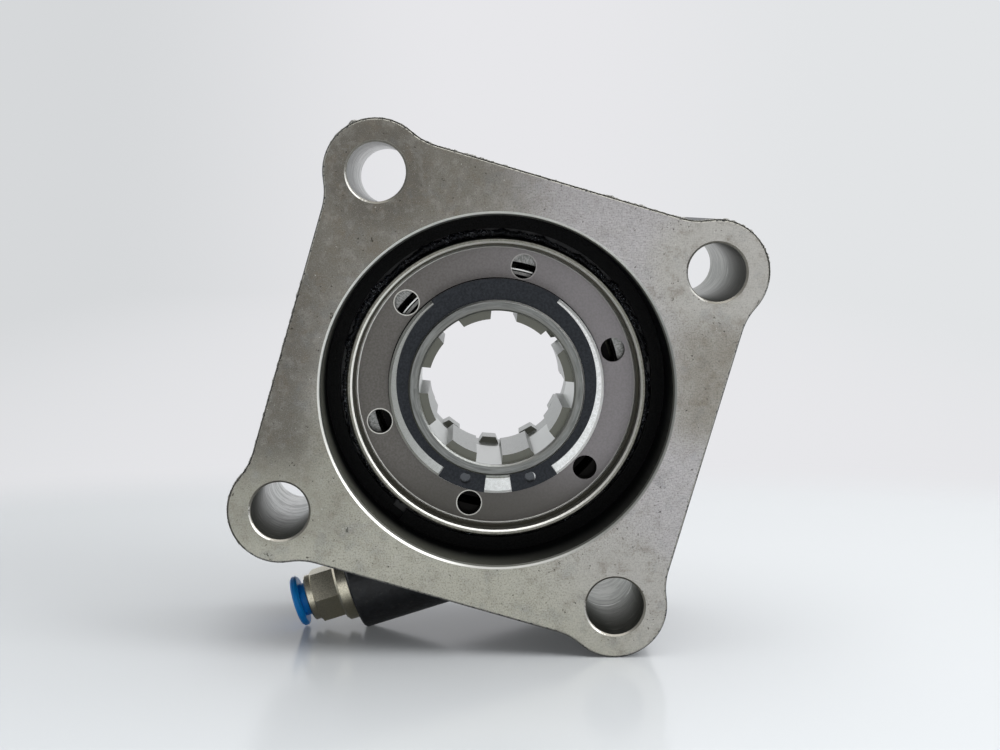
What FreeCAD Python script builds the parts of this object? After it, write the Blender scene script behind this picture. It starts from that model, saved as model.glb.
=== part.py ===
import FreeCAD, Part
import math
import os
import re

import Sketcher

# Air-shifted power take off unit with a four-bolt pump flange.
#
# Every piece is drawn in the unit's own frame: X to the right and Y down as a fitter faces the pump
# flange, Z into the unit from the flange's face. The whole unit is then turned so that Z points along
# +Y of the finished part, and rolled so that one flange corner and the air boss stand on the table.
# The origin is the centre of the pilot bore on the flange's face.

Vector = FreeCAD.Vector
Rotation = FreeCAD.Rotation
Placement = FreeCAD.Placement

# Driving dimensions in millimetres, degrees and counts
SIZES = {
    # housing
    "pilot_chamfer": (0.8, "chamfer at the mouth of the pilot bore"),
    "side_wall": (9.5, "wall between the bore and a straight side"),
    "bolt_inset": (9.5, "straight side to the centres of its bolt holes"),
    "bolt_hole_r": (6.65, "bolt hole radius, front half"),
    "bolt_relief": (0.3, "how much wider the rear half of a bolt hole is"),
    "bolt_step_depth": (27.0, "depth at which the bolt hole widens"),
    "bolt_chamfer": (0.45, "chamfer at the mouth of a bolt hole"),
    "lobe_wall": (5.4, "metal round a bolt hole"),
    "blend_r": (14.0, "hollow radius between a lobe and a straight side"),
    "edge_break": (0.5, "broken edge round both faces"),
    "rear_wall": (5.4, "thickness of the rear wall"),
    "wall_hole_gap": (0.7, "gap between the sleeve's tail and the rear wall"),
    "rear_chamfer": (0.8, "chamfer at the rear mouth of the wall's hole"),
    "cut_over": (1.0, "how far a cutting section reaches past the metal"),
    "rear_ring_out": (4.0, "bore wall to the middle of the rear face seal"),
    "rear_ring_cord": (2.6, "cord thickness of the rear face seal"),
    "rear_groove_depth": (2.0, "depth of the rear seal groove"),
    "rear_groove_width": (3.3, "width of the rear seal groove"),
    # snap ring, gland ring and its seals
    "snap_front": (17.5, "depth of the snap ring groove"),
    "snap_thick": (2.0, "thickness of the snap ring"),
    "snap_play": (0.1, "play beside the snap ring"),
    "snap_sink": (1.3, "depth of the snap ring groove in the bore wall"),
    "snap_show": (3.1, "how far the snap ring stands into the bore"),
    "snap_gap_angle": (5.0, "angle of the gap in the snap ring"),
    "snap_turn": (111.6, "direction of the gap, from X towards Y"),
    "gland_len": (8.2, "length of the gland ring"),
    "gland_gap": (0.2, "gap between gland ring and piston nose"),
    "gland_bore_gap": (0.05, "gap between gland ring and bore"),
    "gland_wall": (4.95, "section height of the gland ring"),
    "gland_recess": (4.2, "depth of the recess for the nose seal"),
    "gland_rim": (1.75, "wall outside that recess"),
    "gland_groove_from": (5.0, "gland face to the ring groove"),
    "gland_groove_width": (2.3, "width of the ring groove"),
    "gland_groove_depth": (1.85, "depth of the ring groove"),
    "gland_ring_cord": (1.8, "cord thickness of the gland's ring"),
    "lip_gap": (0.12, "gap between a seal lip and what it runs on"),
    "seat_gap": (0.05, "gap between a seal and its groove"),
    "lip_thick": (0.95, "thickness of a seal lip"),
    "lip_slope": (0.4, "how far the nose seal's front edge leans away from the nose"),
    "lip_waist": (0.2, "how far its waist stands back from the nose"),
    "seal_bevel": (0.3, "bevel of the piston seal's back edge"),
    "nose_heel": (1.8, "thickness of the nose seal's heel"),
    # piston
    "stop_gap": (0.1, "gap at the piston's forward stop"),
    "nose_len": (18.6, "length of the piston's nose before the step"),
    "nose_wall": (1.8, "wall of the nose"),
    "nose_bore_rise": (0.55, "how much wider the nose's bore is in front of the lock ring"),
    "nose_chamfer": (0.3, "chamfer at the nose's inner edge"),
    "step_rise": (1.4, "height of the stop step above the nose"),
    "air_room": (6.1, "length of the air chamber at rest"),
    "piston_gap": (0.1, "gap between piston and bore"),
    "rim_len": (10.0, "length of the piston's large step"),
    "stroke": (8.0, "travel of the piston"),
    "end_play": (0.6, "room left behind the piston at full travel"),
    "web_height": (6.5, "how far the piston's web reaches in from the nose's wall"),
    "web_relief": (0.7, "relief of the web behind the cage"),
    "web_land": (3.5, "width of the web's seat for the outer race"),
    "pocket_from": (1.5, "rim front to the floor of the spring pocket"),
    "pocket_wall": (6.6, "wall outside the spring pocket"),
    "seal_groove_from": (1.6, "rim front to the seal groove"),
    "seal_groove_width": (3.6, "width of the seal groove"),
    "seal_groove_depth": (2.9, "depth of the seal groove"),
    "seal_heel": (1.5, "thickness of the piston seal's heel"),
    "guide_groove_from": (6.8, "rim front to the guide groove"),
    "guide_groove_width": (2.2, "width of the guide groove"),
    "guide_groove_depth": (1.5, "depth of the guide groove"),
    "guide_gap_angle": (4.0, "angle of the gap in the guide ring"),
    # bearing and the ring that holds it
    "race_wall": (4.2, "section height of each race"),
    "race_gap": (3.6, "gap between the races"),
    "race_width": (12.0, "width of the bearing"),
    "race_chamfer": (0.6, "chamfer of the races"),
    "race_nose": (5.8, "how far the inner race stands out in front of the outer race"),
    "ball_sink": (1.3, "how deep a ball sits in each race"),
    "ball_count": (16, "number of balls"),
    "track_gap": (0.1, "running gap between ball and track"),
    "cage_gap": (1.05, "gap between the cage and each race"),
    "cage_rim": (1.05, "cage beside a ball pocket"),
    "pocket_gap": (0.15, "gap between ball and cage pocket"),
    "fit_gap": (0.02, "gap of a seated fit"),
    "lock_recess": (5.3, "nose face to the lock ring"),
    "lock_thick": (2.8, "thickness of the lock ring"),
    "lock_inner_gap": (0.25, "how much wider the lock ring's hole is than the inner race"),
    "lock_chamfer": (0.3, "chamfer at the lock ring's outer edge"),
    "wrench_hole_r": (2.85, "radius of a pin-wrench hole"),
    "wrench_inset": (3.2, "lock ring's bore to the centres of the pin-wrench holes"),
    "wrench_holes": (6, "number of pin-wrench holes"),
    "wrench_turn": (26.6, "direction of the first pin-wrench hole"),
    # splined sleeve
    "sleeve_len": (46.15, "length of the sleeve"),
    "sleeve_land": (1.5, "sleeve face to its circlip"),
    "sleeve_step": (0.5, "how much thinner the sleeve is before the circlip"),
    "sleeve_chamfer": (0.4, "chamfer of the sleeve's outer edges"),
    "shoulder_rise": (3.3, "height of the shoulder behind the bearing"),
    "shoulder_len": (3.5, "length of the shoulder"),
    "tail_rise": (0.5, "how much thicker the tail is than the seat"),
    "spline_r": (16.0, "inner radius of the spline lands"),
    "seat_wall": (3.0, "wall between the spline grooves and the bearing seat"),
    "spline_depth": (2.0, "depth of the spline grooves"),
    "spline_width": (6.05, "width of a spline groove"),
    "spline_count": (8, "number of spline grooves"),
    "spline_from": (1.8, "sleeve face to the lands"),
    "spline_len": (28.75, "length of the lands"),
    "spline_turn": (34.5, "direction of the first groove"),
    "mouth_chamfer": (0.4, "chamfer at the sleeve's mouth"),
    "tail_bore_rise": (0.55, "how much wider the tail's bore is than the spline grooves"),
    "tooth_count": (11, "number of rear teeth"),
    "tooth_turn": (12.4, "direction of the first rear tooth"),
    "tooth_len": (7.5, "length of the rear teeth"),
    "tooth_rise": (1.75, "height of the rear teeth"),
    "tooth_foot": (5.2, "width of a rear tooth at its foot"),
    "tooth_tip": (3.4, "width of a rear tooth at its tip"),
    "tooth_sink": (0.4, "how far a tooth's foot reaches into the wall"),
    # circlip on the sleeve
    "clip_thick": (1.75, "thickness of the circlip"),
    "clip_sink": (1.4, "depth of the circlip groove"),
    "clip_play": (0.05, "play beside the circlip"),
    "clip_height": (3.7, "mean section height of the circlip"),
    "clip_shift": (1.1, "how far the outer circle is off centre"),
    "clip_eye_out": (2.9, "floor of the groove to the centres of the lug eyes"),
    "clip_hole_r": (1.3, "radius of a lug eye"),
    "clip_lug_height": (5.2, "floor of the groove to the outer edge of the lugs"),
    "clip_back_height": (5.75, "floor of the groove to the outer edge of the wide lug opposite the gap"),
    "clip_back_angle": (72.0, "angle that the wide lug takes up"),
    "clip_eye_angle": (19.75, "angle from the gap to a lug eye"),
    "clip_lug_angle": (34.0, "angle from the gap to a lug's end"),
    "clip_gap_angle": (7.6, "half the angle of the gap"),
    "clip_turn": (72.9, "direction of the gap"),
    # return spring
    "wire_width": (2.4, "width of the spring's flat wire"),
    "wire_height": (2.4, "height of the spring's flat wire"),
    "spring_side_gap": (1.5, "gap between the spring and the wall of its pocket"),
    "spring_turns": (3.0, "turns of the spring"),
    "spring_gap": (0.05, "gap at the spring's ends"),
    # air boss
    "boss_rim": (2.95, "how far the air boss stands out round the fitting's flange"),
    "boss_inset": (11.0, "straight side to the boss axis, where it is nearest the main axis"),
    "fitting_clear": (2.77, "gap between the fitting's flange and the straight side"),
    "boss_angle": (33.7, "angle between the boss axis and X"),
    "boss_chamfer": (0.5, "broken edge of the boss"),
    "port_r": (4.88, "radius of the tapped hole"),
    "port_room": (1.0, "room between the fitting's stem and the end of the tapped hole"),
    "passage_r": (2.5, "radius of the air passage"),
    "passage_from": (3.0, "end of the passage, from the same point"),
    # air fitting, along its own axis from the boss face
    "stem_gap": (0.05, "gap round the fitting's stem"),
    "stem_len": (8.5, "length of the stem"),
    "washer_thick": (0.5, "thickness of the fitting's seal"),
    "stem_chamfer": (0.5, "chamfer of the stem's end"),
    "washer_inset": (0.75, "flange's edge to the edge of the fitting's seal"),
    "collar_rise": (2.15, "how far the fitting's round flange stands out from the flats"),
    "collar_chamfer": (0.6, "chamfer of that flange"),
    "collar_len": (3.0, "thickness of that flange"),
    "hex_rise": (0.3, "how far the flats stand out from the end band"),
    "hex_len": (6.2, "length of the hexagon"),
    "hex_slope": (0.6, "fall of the hexagon's top corners for each millimetre outwards"),
    "band_wall": (0.8, "wall of the fitting's end band"),
    "band_chamfer": (0.3, "chamfer of the end band"),
    "band_len": (1.7, "length of the end band"),
    "duct_r": (2.0, "radius of the air way in the stem"),
    "tube_r": (3.1, "radius of the tube's way through the fitting"),
    "tube_gap": (0.05, "how much wider the way is behind the collar"),
    "tube_stop": (2.0, "depth of the tube's stop behind the boss face"),
    "chamber_from": (3.0, "boss face to the fitting's chamber"),
    "chamber_rise": (1.8, "how much wider the fitting's chamber is than the tube"),
    "tube_ring_cord": (1.7, "cord thickness of the tube's seal"),
    "support_len": (0.9, "thickness of the support ring"),
    "claw_len": (1.1, "height of the claw ring"),
    "claw_thick": (0.4, "sheet thickness of the claw ring"),
    "claw_slots": (8, "number of slots in the claw ring"),
    "part_gap": (0.08, "gap between the small pieces in the fitting"),
    "end_ring_wall": (0.75, "wall of the fitting's end ring"),
    "end_ring_skirt": (0.2, "wall of the end ring's skirt"),
    "end_ring_len": (2.1, "length of the end ring's thick part"),
    "neck_gap": (0.1, "gap round the release collar's neck"),
    "neck_foot": (0.5, "length of the neck's thick foot"),
    "foot_chamfer": (0.2, "chamfer of that foot"),
    "release_travel": (1.3, "travel of the release collar"),
    "release_room": (0.25, "room left under the collar when pressed"),
    "release_wall": (3.1, "section height of the release collar"),
    "release_thick": (1.7, "thickness of the release collar"),
    "release_round": (0.45, "rounding of the release collar"),
}

# Places and sizes that follow from the driving dimensions
FOLLOWS = {
    # depths along the main axis
    "snap_back": "snap_front + snap_thick",
    "gland_front": "snap_back + snap_play",
    "gland_back": "gland_front + gland_len",
    "recess_floor": "gland_front + gland_recess",
    "gland_groove_front": "gland_front + gland_groove_from",
    "gland_groove_back": "gland_groove_front + gland_groove_width",
    "step_front": "gland_back + stop_gap",
    "nose_front": "step_front - nose_len",
    "rim_front": "step_front + air_room",
    "rim_back": "rim_front + rim_len",
    "wall_front": "rim_back + stroke + end_play",
    "housing_len": "wall_front + rear_wall",
    "pocket_floor": "rim_front + pocket_from",
    "boss_depth": "step_front + air_room / 2",
    "lock_front": "nose_front + lock_recess",
    "race_front": "lock_front + lock_thick",
    "race_back": "race_front + race_width",
    "race_mid": "race_front + race_width / 2",
    "cage_width": "2 * (ball_r + pocket_gap + cage_rim)",
    "inner_front": "race_front - race_nose",
    "clip_front": "inner_front - clip_thick",
    "sleeve_front": "clip_front - sleeve_land",
    "sleeve_back": "sleeve_front + sleeve_len",
    "shoulder_back": "race_back + shoulder_len",
    "spring_run": "wall_front - pocket_floor - 2 * spring_gap - wire_height",
    "spline_front": "sleeve_front + spline_from",
    "spline_back": "spline_front + spline_len",
    # radii
    "spline_root_r": "spline_r + spline_depth",
    "seat_r": "spline_root_r + seat_wall",
    "inner_race_r": "seat_r + race_wall",
    "outer_race_r": "inner_race_r + race_gap",
    "race_r": "outer_race_r + race_wall",
    "pitch_r": "inner_race_r + race_gap / 2",
    "ball_r": "race_gap / 2 + ball_sink",
    "cage_thick": "race_gap - 2 * cage_gap",
    "lock_inner_r": "inner_race_r + lock_inner_gap",
    "wrench_circle_r": "lock_inner_r + wrench_inset",
    "nose_r": "race_r + nose_wall",
    "step_r": "nose_r + step_rise",
    "pilot_r": "nose_r + gland_gap + gland_wall + gland_bore_gap",
    "side_half": "pilot_r + side_wall",
    "bolt_half": "side_half - bolt_inset",
    "lobe_r": "bolt_hole_r + lobe_wall",
    "rear_ring_r": "pilot_r + rear_ring_out",
    "rim_r": "pilot_r - piston_gap",
    "pocket_r": "rim_r - pocket_wall",
    "web_inner_r": "race_r - web_height",
    "spring_r": "pocket_r - spring_side_gap - wire_width / 2",
    "tail_r": "seat_r + tail_rise",
    "tail_bore_r": "spline_root_r + tail_bore_rise",
    "wall_hole_r": "tail_r + wall_hole_gap",
    "clip_seat_r": "seat_r - clip_sink",
    "clip_r": "clip_seat_r + clip_height",
    "clip_eye_r": "clip_seat_r + clip_eye_out",
    "clip_lug_r": "clip_seat_r + clip_lug_height",
    "clip_back_r": "clip_seat_r + clip_back_height",
    "nose_bore_r": "race_r + nose_bore_rise",
    "snap_r": "pilot_r + snap_sink",
    "snap_inner_r": "pilot_r - snap_show",
    "gland_r": "pilot_r - gland_bore_gap",
    "gland_inner_r": "nose_r + gland_gap",
    "recess_r": "gland_r - gland_rim",
    "gland_floor_r": "gland_r - gland_groove_depth",
    "seal_floor_r": "rim_r - seal_groove_depth",
    "guide_floor_r": "rim_r - guide_groove_depth",
    # fitting and boss
    "chamber_r": "tube_r + chamber_rise",
    "band_r": "chamber_r + band_wall",
    "hex_half": "band_r + hex_rise",
    "hex_corner": "hex_half / cos(30)",
    "collar_r": "hex_half + collar_rise",
    "washer_r": "collar_r - washer_inset",
    "washer_hole_r": "port_r + part_gap",
    "release_r": "tube_r + release_wall",
    "boss_r": "collar_r + boss_rim",
    "boss_offset": "side_half - boss_inset",
    "boss_reach": "(side_half + fitting_clear + (collar_r - boss_offset) * cos(boss_angle)) / sin(boss_angle)",
    "port_depth": "stem_len + port_room",
    # heights in the fitting
    "collar_top": "washer_thick + collar_len",
    "hex_top": "collar_top + hex_len",
    "band_top": "hex_top + band_len",
    "stem_r": "port_r - stem_gap",
    "way_r": "tube_r + tube_gap",
    "ring_top": "chamber_from + tube_ring_cord + part_gap",
    "support_top": "ring_top + part_gap + support_len",
    "claw_top": "support_top + part_gap + claw_len",
    "end_ring_top": "band_top + part_gap",
    "end_ring_foot": "end_ring_top - end_ring_len",
    "end_ring_r": "chamber_r - seat_gap",
    "neck_r": "end_ring_r - end_ring_wall - neck_gap",
    "foot_r": "end_ring_r - end_ring_skirt - neck_gap",
    "foot_top": "end_ring_foot - part_gap",
    "release_foot": "foot_top - neck_foot",
    "release_under": "end_ring_top + release_travel + release_room",
    "release_top": "release_under + release_thick",
}

doc = FreeCAD.newDocument("power_take_off")
pieces = []


def make_sheet():
    """Writes the driving dimensions into a sheet, one named cell each."""
    sheet = doc.addObject("Spreadsheet::Sheet", "Sizes")
    for row, (name, (size, words)) in enumerate(SIZES.items(), start=1):
        sheet.set(f"A{row}", words)
        sheet.set(f"B{row}", str(size))
        sheet.setAlias(f"B{row}", name)
    doc.recompute()
    return sheet


def cells(text):
    """Turns the names in an expression into references to the sheet's cells."""

    def swap(match):
        name = match[0]
        if name in FOLLOWS:
            return "(" + cells(FOLLOWS[name]) + ")"
        return "Sizes." + name if name in SIZES else name

    return re.sub(r"[a-z][a-z0-9_]*", swap, text)


def value(text):
    """The present value of an expression."""
    return float(sheet.evalExpression(cells(text).replace("Sizes.", "")))


def bind(thing, target, text):
    thing.setExpression(target, cells(text))


def new_body(label):
    """An empty body for one piece of the unit."""
    body = doc.addObject("PartDesign::Body", label)
    body.Label = label
    pieces.append(body)
    return body


def sketch_on(body, name, plane, shift=("0", "0", "0"), turn="0"):
    """A sketch on one of the body's own origin planes, moved and turned within that plane."""
    sketch = body.newObject("Sketcher::SketchObject", name)
    carrier = next(f for f in body.Origin.OriginFeatures if f.Role == plane)
    sketch.AttachmentSupport = (carrier, "")
    sketch.MapMode = "FlatFace"
    sketch.AttachmentOffset = Placement(Vector(0, 0, 0), Rotation(Vector(0, 0, 1), value(turn)))
    for letter, text in zip("xyz", shift):
        bind(sketch, f"AttachmentOffset.Base.{letter}", text)
    bind(sketch, "AttachmentOffset.Rotation.Angle", turn)
    return sketch


def hold(sketch, kind, *where, size):
    """Adds a dimension to a sketch and ties it to its expression."""
    index = sketch.addConstraint(Sketcher.Constraint(kind, *where, value(size)))
    bind(sketch, f"Constraints[{index}]", size)


def outline(sketch, corners, arcs=None):
    """A closed outline through the corners. arcs gives the radius of each edge that is round about
    the sketch's origin; a corner on one of them is placed by that radius and its height alone."""
    arcs = arcs or {}
    count = len(corners)

    def spot(index):
        across, up = corners[index]
        if across is None:
            across = f"sqrt(({arcs[index] if index in arcs else arcs[index - 1]})^2 - ({up})^2)"
        return Vector(value(across), value(up), 0)

    for index in range(count):
        start, end = spot(index), spot((index + 1) % count)
        if index in arcs:
            circle = Part.Circle(Vector(0, 0, 0), Vector(0, 0, 1), value(arcs[index]))
            first, last = (math.atan2(p.y, p.x) for p in (start, end))
            sketch.addGeometry(Part.ArcOfCircle(circle, first, last))
        else:
            sketch.addGeometry(Part.LineSegment(start, end))
    for index in range(count):
        sketch.addConstraint(Sketcher.Constraint("Coincident", index, 2, (index + 1) % count, 1))
    for index, radius in arcs.items():
        sketch.addConstraint(Sketcher.Constraint("Coincident", index, 3, -1, 1))
        hold(sketch, "Radius", index, size=radius)
    for index, (across, up) in enumerate(corners):
        if across is not None:
            hold(sketch, "DistanceX", -1, 1, index, 1, size=across)
        hold(sketch, "DistanceY", -1, 1, index, 1, size=up)


def circle_at(sketch, across, up, radius):
    """A full circle with its centre and radius held."""
    centre = Vector(value(across), value(up), 0)
    index = sketch.addGeometry(Part.Circle(centre, Vector(0, 0, 1), value(radius)))
    hold(sketch, "Radius", index, size=radius)
    hold(sketch, "DistanceX", -1, 1, index, 3, size=across)
    hold(sketch, "DistanceY", -1, 1, index, 3, size=up)


def finish(body, feature, cuts):
    """Rebuilds after a feature and makes sure that it changed the body the right way."""
    before = body.Tip.BaseFeature.Shape.Volume if body.Tip.BaseFeature else 0.0
    doc.recompute()
    if (feature.Shape.Volume >= before) if cuts else (feature.Shape.Volume <= before):
        raise RuntimeError(f"{feature.Name} changes nothing")
    return feature


def turn_profile(body, sketch, axis="V_Axis", cuts=False, angle="360"):
    """Revolves a sketch about one of its own axes, to add or to cut."""
    kind = "PartDesign::Groove" if cuts else "PartDesign::Revolution"
    feature = body.newObject(kind, sketch.Name + ("_cut" if cuts else "_turned"))
    feature.Profile = sketch
    feature.ReferenceAxis = (sketch, [axis])
    bind(feature, "Angle", angle)
    sketch.Visibility = False
    return finish(body, feature, cuts)


def raise_profile(body, sketch, length, cuts=False):
    """Pads or pockets a sketch along its normal by a length, away from the plane into +Z."""
    feature = body.newObject("PartDesign::Pocket" if cuts else "PartDesign::Pad", sketch.Name + "_run")
    feature.Profile = sketch
    feature.Reversed = cuts
    bind(feature, "Length", length)
    return finish(body, feature, cuts)


def repeat(body, feature, count):
    """Repeats a feature evenly about the body's Z axis."""
    pattern = body.newObject("PartDesign::PolarPattern", feature.Name + "_ring")
    pattern.Originals = [feature]
    pattern.Axis = (next(f for f in body.Origin.OriginFeatures if f.Role == "Z_Axis"), [""])
    pattern.Angle = 360
    bind(pattern, "Occurrences", count)
    body.Tip = pattern
    doc.recompute()
    return pattern


def break_edges(body, name, size, wanted):
    """Chamfers the edges of the body's present shape that the test picks."""
    base = body.Tip
    names = [f"Edge{i}" for i, edge in enumerate(base.Shape.Edges, start=1) if wanted(edge)]
    chamfer = body.newObject("PartDesign::Chamfer", name)
    chamfer.Base = (base, names)
    bind(chamfer, "Size", size)
    return finish(body, chamfer, cuts=True)


def round_at(radius, depth):
    """Tests for a round edge of one radius about an axis along Z, at one depth."""

    def test(edge):
        curve = edge.Curve
        if not isinstance(curve, Part.Circle):
            return False
        return abs(curve.Radius - value(radius)) < 1e-4 and abs(curve.Center.z - value(depth)) < 1e-4

    return test


def turned(label, corners, arcs=None):
    """A piece turned about the main axis, from its section (radius, depth)."""
    body = new_body(label)
    sketch = sketch_on(body, label + "_section", "XZ_Plane")
    outline(sketch, corners, arcs)
    turn_profile(body, sketch)
    return body


def round_ring(label, mean_r, depth, cord_r):
    """A ring of round cord about the main axis."""
    body = new_body(label)
    sketch = sketch_on(body, label + "_section", "XZ_Plane")
    circle_at(sketch, mean_r, depth, cord_r)
    turn_profile(body, sketch)
    return body


def flange_outline(sketch):
    """Four straight sides, a round lobe at each bolt hole and hollow blends between them."""
    side, half = value("side_half"), value("bolt_half")
    lobe, blend = value("lobe_r"), value("blend_r")
    out = side + blend
    along = half - math.sqrt((lobe + blend) ** 2 - (out - half) ** 2)
    lean = math.atan2(along - half, out - half)
    up = Vector(0, 0, 1)

    for quarter in range(4):
        spin = Rotation(up, 90 * quarter)
        turn = math.radians(90 * quarter)
        ends = [spin.multVec(Vector(side, sign * along, 0)) for sign in (-1, 1)]
        low = Part.Circle(spin.multVec(Vector(out, along, 0)), up, blend)
        corner = Part.Circle(spin.multVec(Vector(half, half, 0)), up, lobe)
        high = Part.Circle(spin.multVec(Vector(along, out, 0)), up, blend)
        sketch.addGeometry(Part.LineSegment(*ends))
        sketch.addGeometry(Part.ArcOfCircle(low, turn + math.pi + lean, turn + math.pi))
        sketch.addGeometry(Part.ArcOfCircle(corner, turn + lean, turn + math.pi / 2 - lean))
        sketch.addGeometry(Part.ArcOfCircle(high, turn - math.pi / 2, turn - math.pi / 2 - lean))
    for quarter in range(4):
        line, low, corner, high = range(4 * quarter, 4 * quarter + 4)
        following = (high + 1) % 16
        for pair in ((line, 2, low, 2), (low, 1, corner, 1), (corner, 2, high, 2), (high, 1, following, 1)):
            sketch.addConstraint(Sketcher.Constraint("Tangent", *pair))
        upright = quarter % 2 == 0
        sketch.addConstraint(Sketcher.Constraint("Vertical" if upright else "Horizontal", line))
        sign = "" if quarter in (0, 1) else "-"
        hold(sketch, "DistanceX" if upright else "DistanceY", -1, 1, line, 1, size=f"{sign}side_half")
        right = "" if quarter in (0, 3) else "-"
        hold(sketch, "DistanceX", -1, 1, corner, 3, size=f"{right}bolt_half")
        hold(sketch, "DistanceY", -1, 1, corner, 3, size=f"{sign}bolt_half")
        hold(sketch, "Radius", corner, size="lobe_r")
        hold(sketch, "Radius", low, size="blend_r")
        hold(sketch, "Radius", high, size="blend_r")


def boss_sketch(body, name):
    """A sketch whose X runs out along the air boss from the point of its axis nearest the main axis."""
    shift = ("boss_offset * sin(boss_angle)", "boss_offset * cos(boss_angle)", "boss_depth")
    return sketch_on(body, name, "XY_Plane", shift, "180 - boss_angle")


def make_housing():
    body = new_body("housing")
    face = sketch_on(body, "flange_shape", "XY_Plane")
    flange_outline(face)
    raise_profile(body, face, "housing_len")
    break_edges(body, "cast_edges", "edge_break", lambda e: abs(e.BoundBox.ZLength) < 1e-6)

    boss = boss_sketch(body, "boss_section")
    outline(boss, [
        ("0", "0"),
        ("boss_reach", "0"),
        ("boss_reach", "boss_r - boss_chamfer"),
        ("boss_reach - boss_chamfer", "boss_r"),
        ("0", "boss_r"),
    ])
    turn_profile(body, boss, "H_Axis")

    bore = sketch_on(body, "bore_section", "XZ_Plane")
    outline(bore, [
        ("0", "-cut_over"),
        ("pilot_r + pilot_chamfer + cut_over", "-cut_over"),
        ("pilot_r", "pilot_chamfer"),
        ("pilot_r", "snap_front"),
        ("snap_r", "snap_front"),
        ("snap_r", "gland_front"),
        ("pilot_r", "gland_front"),
        ("pilot_r", "wall_front"),
        ("wall_hole_r", "wall_front"),
        ("wall_hole_r", "housing_len - rear_chamfer"),
        ("wall_hole_r + rear_chamfer + cut_over", "housing_len + cut_over"),
        ("0", "housing_len + cut_over"),
    ])
    turn_profile(body, bore, cuts=True)

    groove = sketch_on(body, "rear_groove_section", "XZ_Plane")
    outline(groove, [
        ("rear_ring_r - rear_groove_width / 2", "housing_len - rear_groove_depth"),
        ("rear_ring_r + rear_groove_width / 2", "housing_len - rear_groove_depth"),
        ("rear_ring_r + rear_groove_width / 2", "housing_len + cut_over"),
        ("rear_ring_r - rear_groove_width / 2", "housing_len + cut_over"),
    ])
    turn_profile(body, groove, cuts=True)

    hole = sketch_on(body, "bolt_hole", "XY_Plane")
    circle_at(hole, "bolt_half", "bolt_half", "bolt_hole_r")
    repeat(body, raise_profile(body, hole, "housing_len", cuts=True), "4")
    relief = sketch_on(body, "bolt_relief_hole", "XY_Plane", ("0", "0", "bolt_step_depth"))
    circle_at(relief, "bolt_half", "bolt_half", "bolt_hole_r + bolt_relief")
    repeat(body, raise_profile(body, relief, "housing_len - bolt_step_depth", cuts=True), "4")
    break_edges(body, "bolt_mouths", "bolt_chamfer", round_at("bolt_hole_r", "0"))

    port = boss_sketch(body, "port_section")
    outline(port, [
        ("boss_reach + cut_over", "0"),
        ("boss_reach + cut_over", "port_r"),
        ("boss_reach - port_depth", "port_r"),
        ("boss_reach - port_depth - port_r + passage_r", "passage_r"),
        ("passage_from", "passage_r"),
        ("passage_from - passage_r / 2", "0"),
    ])
    turn_profile(body, port, "H_Axis", cuts=True)


def make_bore_rings():
    """Snap ring, gland ring and the seals that the housing holds."""
    snap = new_body("bore_snap_ring")
    section = sketch_on(snap, "snap_section", "XZ_Plane")
    outline(section, [
        ("snap_inner_r", "snap_front + snap_play / 2"),
        ("snap_r - snap_play", "snap_front + snap_play / 2"),
        ("snap_r - snap_play", "snap_back"),
        ("snap_inner_r", "snap_back"),
    ])
    turn_profile(snap, section, angle="360 - snap_gap_angle")

    turned("gland_ring", [
        ("recess_r", "gland_front"),
        ("gland_r", "gland_front"),
        ("gland_r", "gland_groove_front"),
        ("gland_floor_r", "gland_groove_front"),
        ("gland_floor_r", "gland_groove_back"),
        ("gland_r", "gland_groove_back"),
        ("gland_r", "gland_back"),
        ("gland_inner_r", "gland_back"),
        ("gland_inner_r", "recess_floor"),
        ("recess_r", "recess_floor"),
    ])
    round_ring(
        "gland_o_ring",
        "(gland_floor_r + pilot_r) / 2",
        "(gland_groove_front + gland_groove_back) / 2",
        "gland_ring_cord / 2",
    )

    round_ring(
        "rear_o_ring",
        "rear_ring_r",
        "housing_len - rear_groove_depth + seat_gap + rear_ring_cord / 2",
        "rear_ring_cord / 2",
    )

    lip_r, heel_r = "nose_r + lip_gap", "recess_r - seat_gap"
    front, back = "gland_front + seat_gap", "recess_floor - seat_gap"
    turned("nose_seal", [
        (f"{lip_r} + lip_slope", front),
        (heel_r, front),
        (heel_r, back),
        (f"{heel_r} - lip_thick / 2", back),
        (f"({lip_r} + {heel_r}) / 2", f"{front} + nose_heel"),
        (f"{lip_r} + lip_thick / 2", back),
        (lip_r, back),
        (lip_r, f"{front} + nose_heel"),
        (f"{lip_r} + lip_waist", f"{front} + nose_heel / 2"),
    ])


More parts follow.
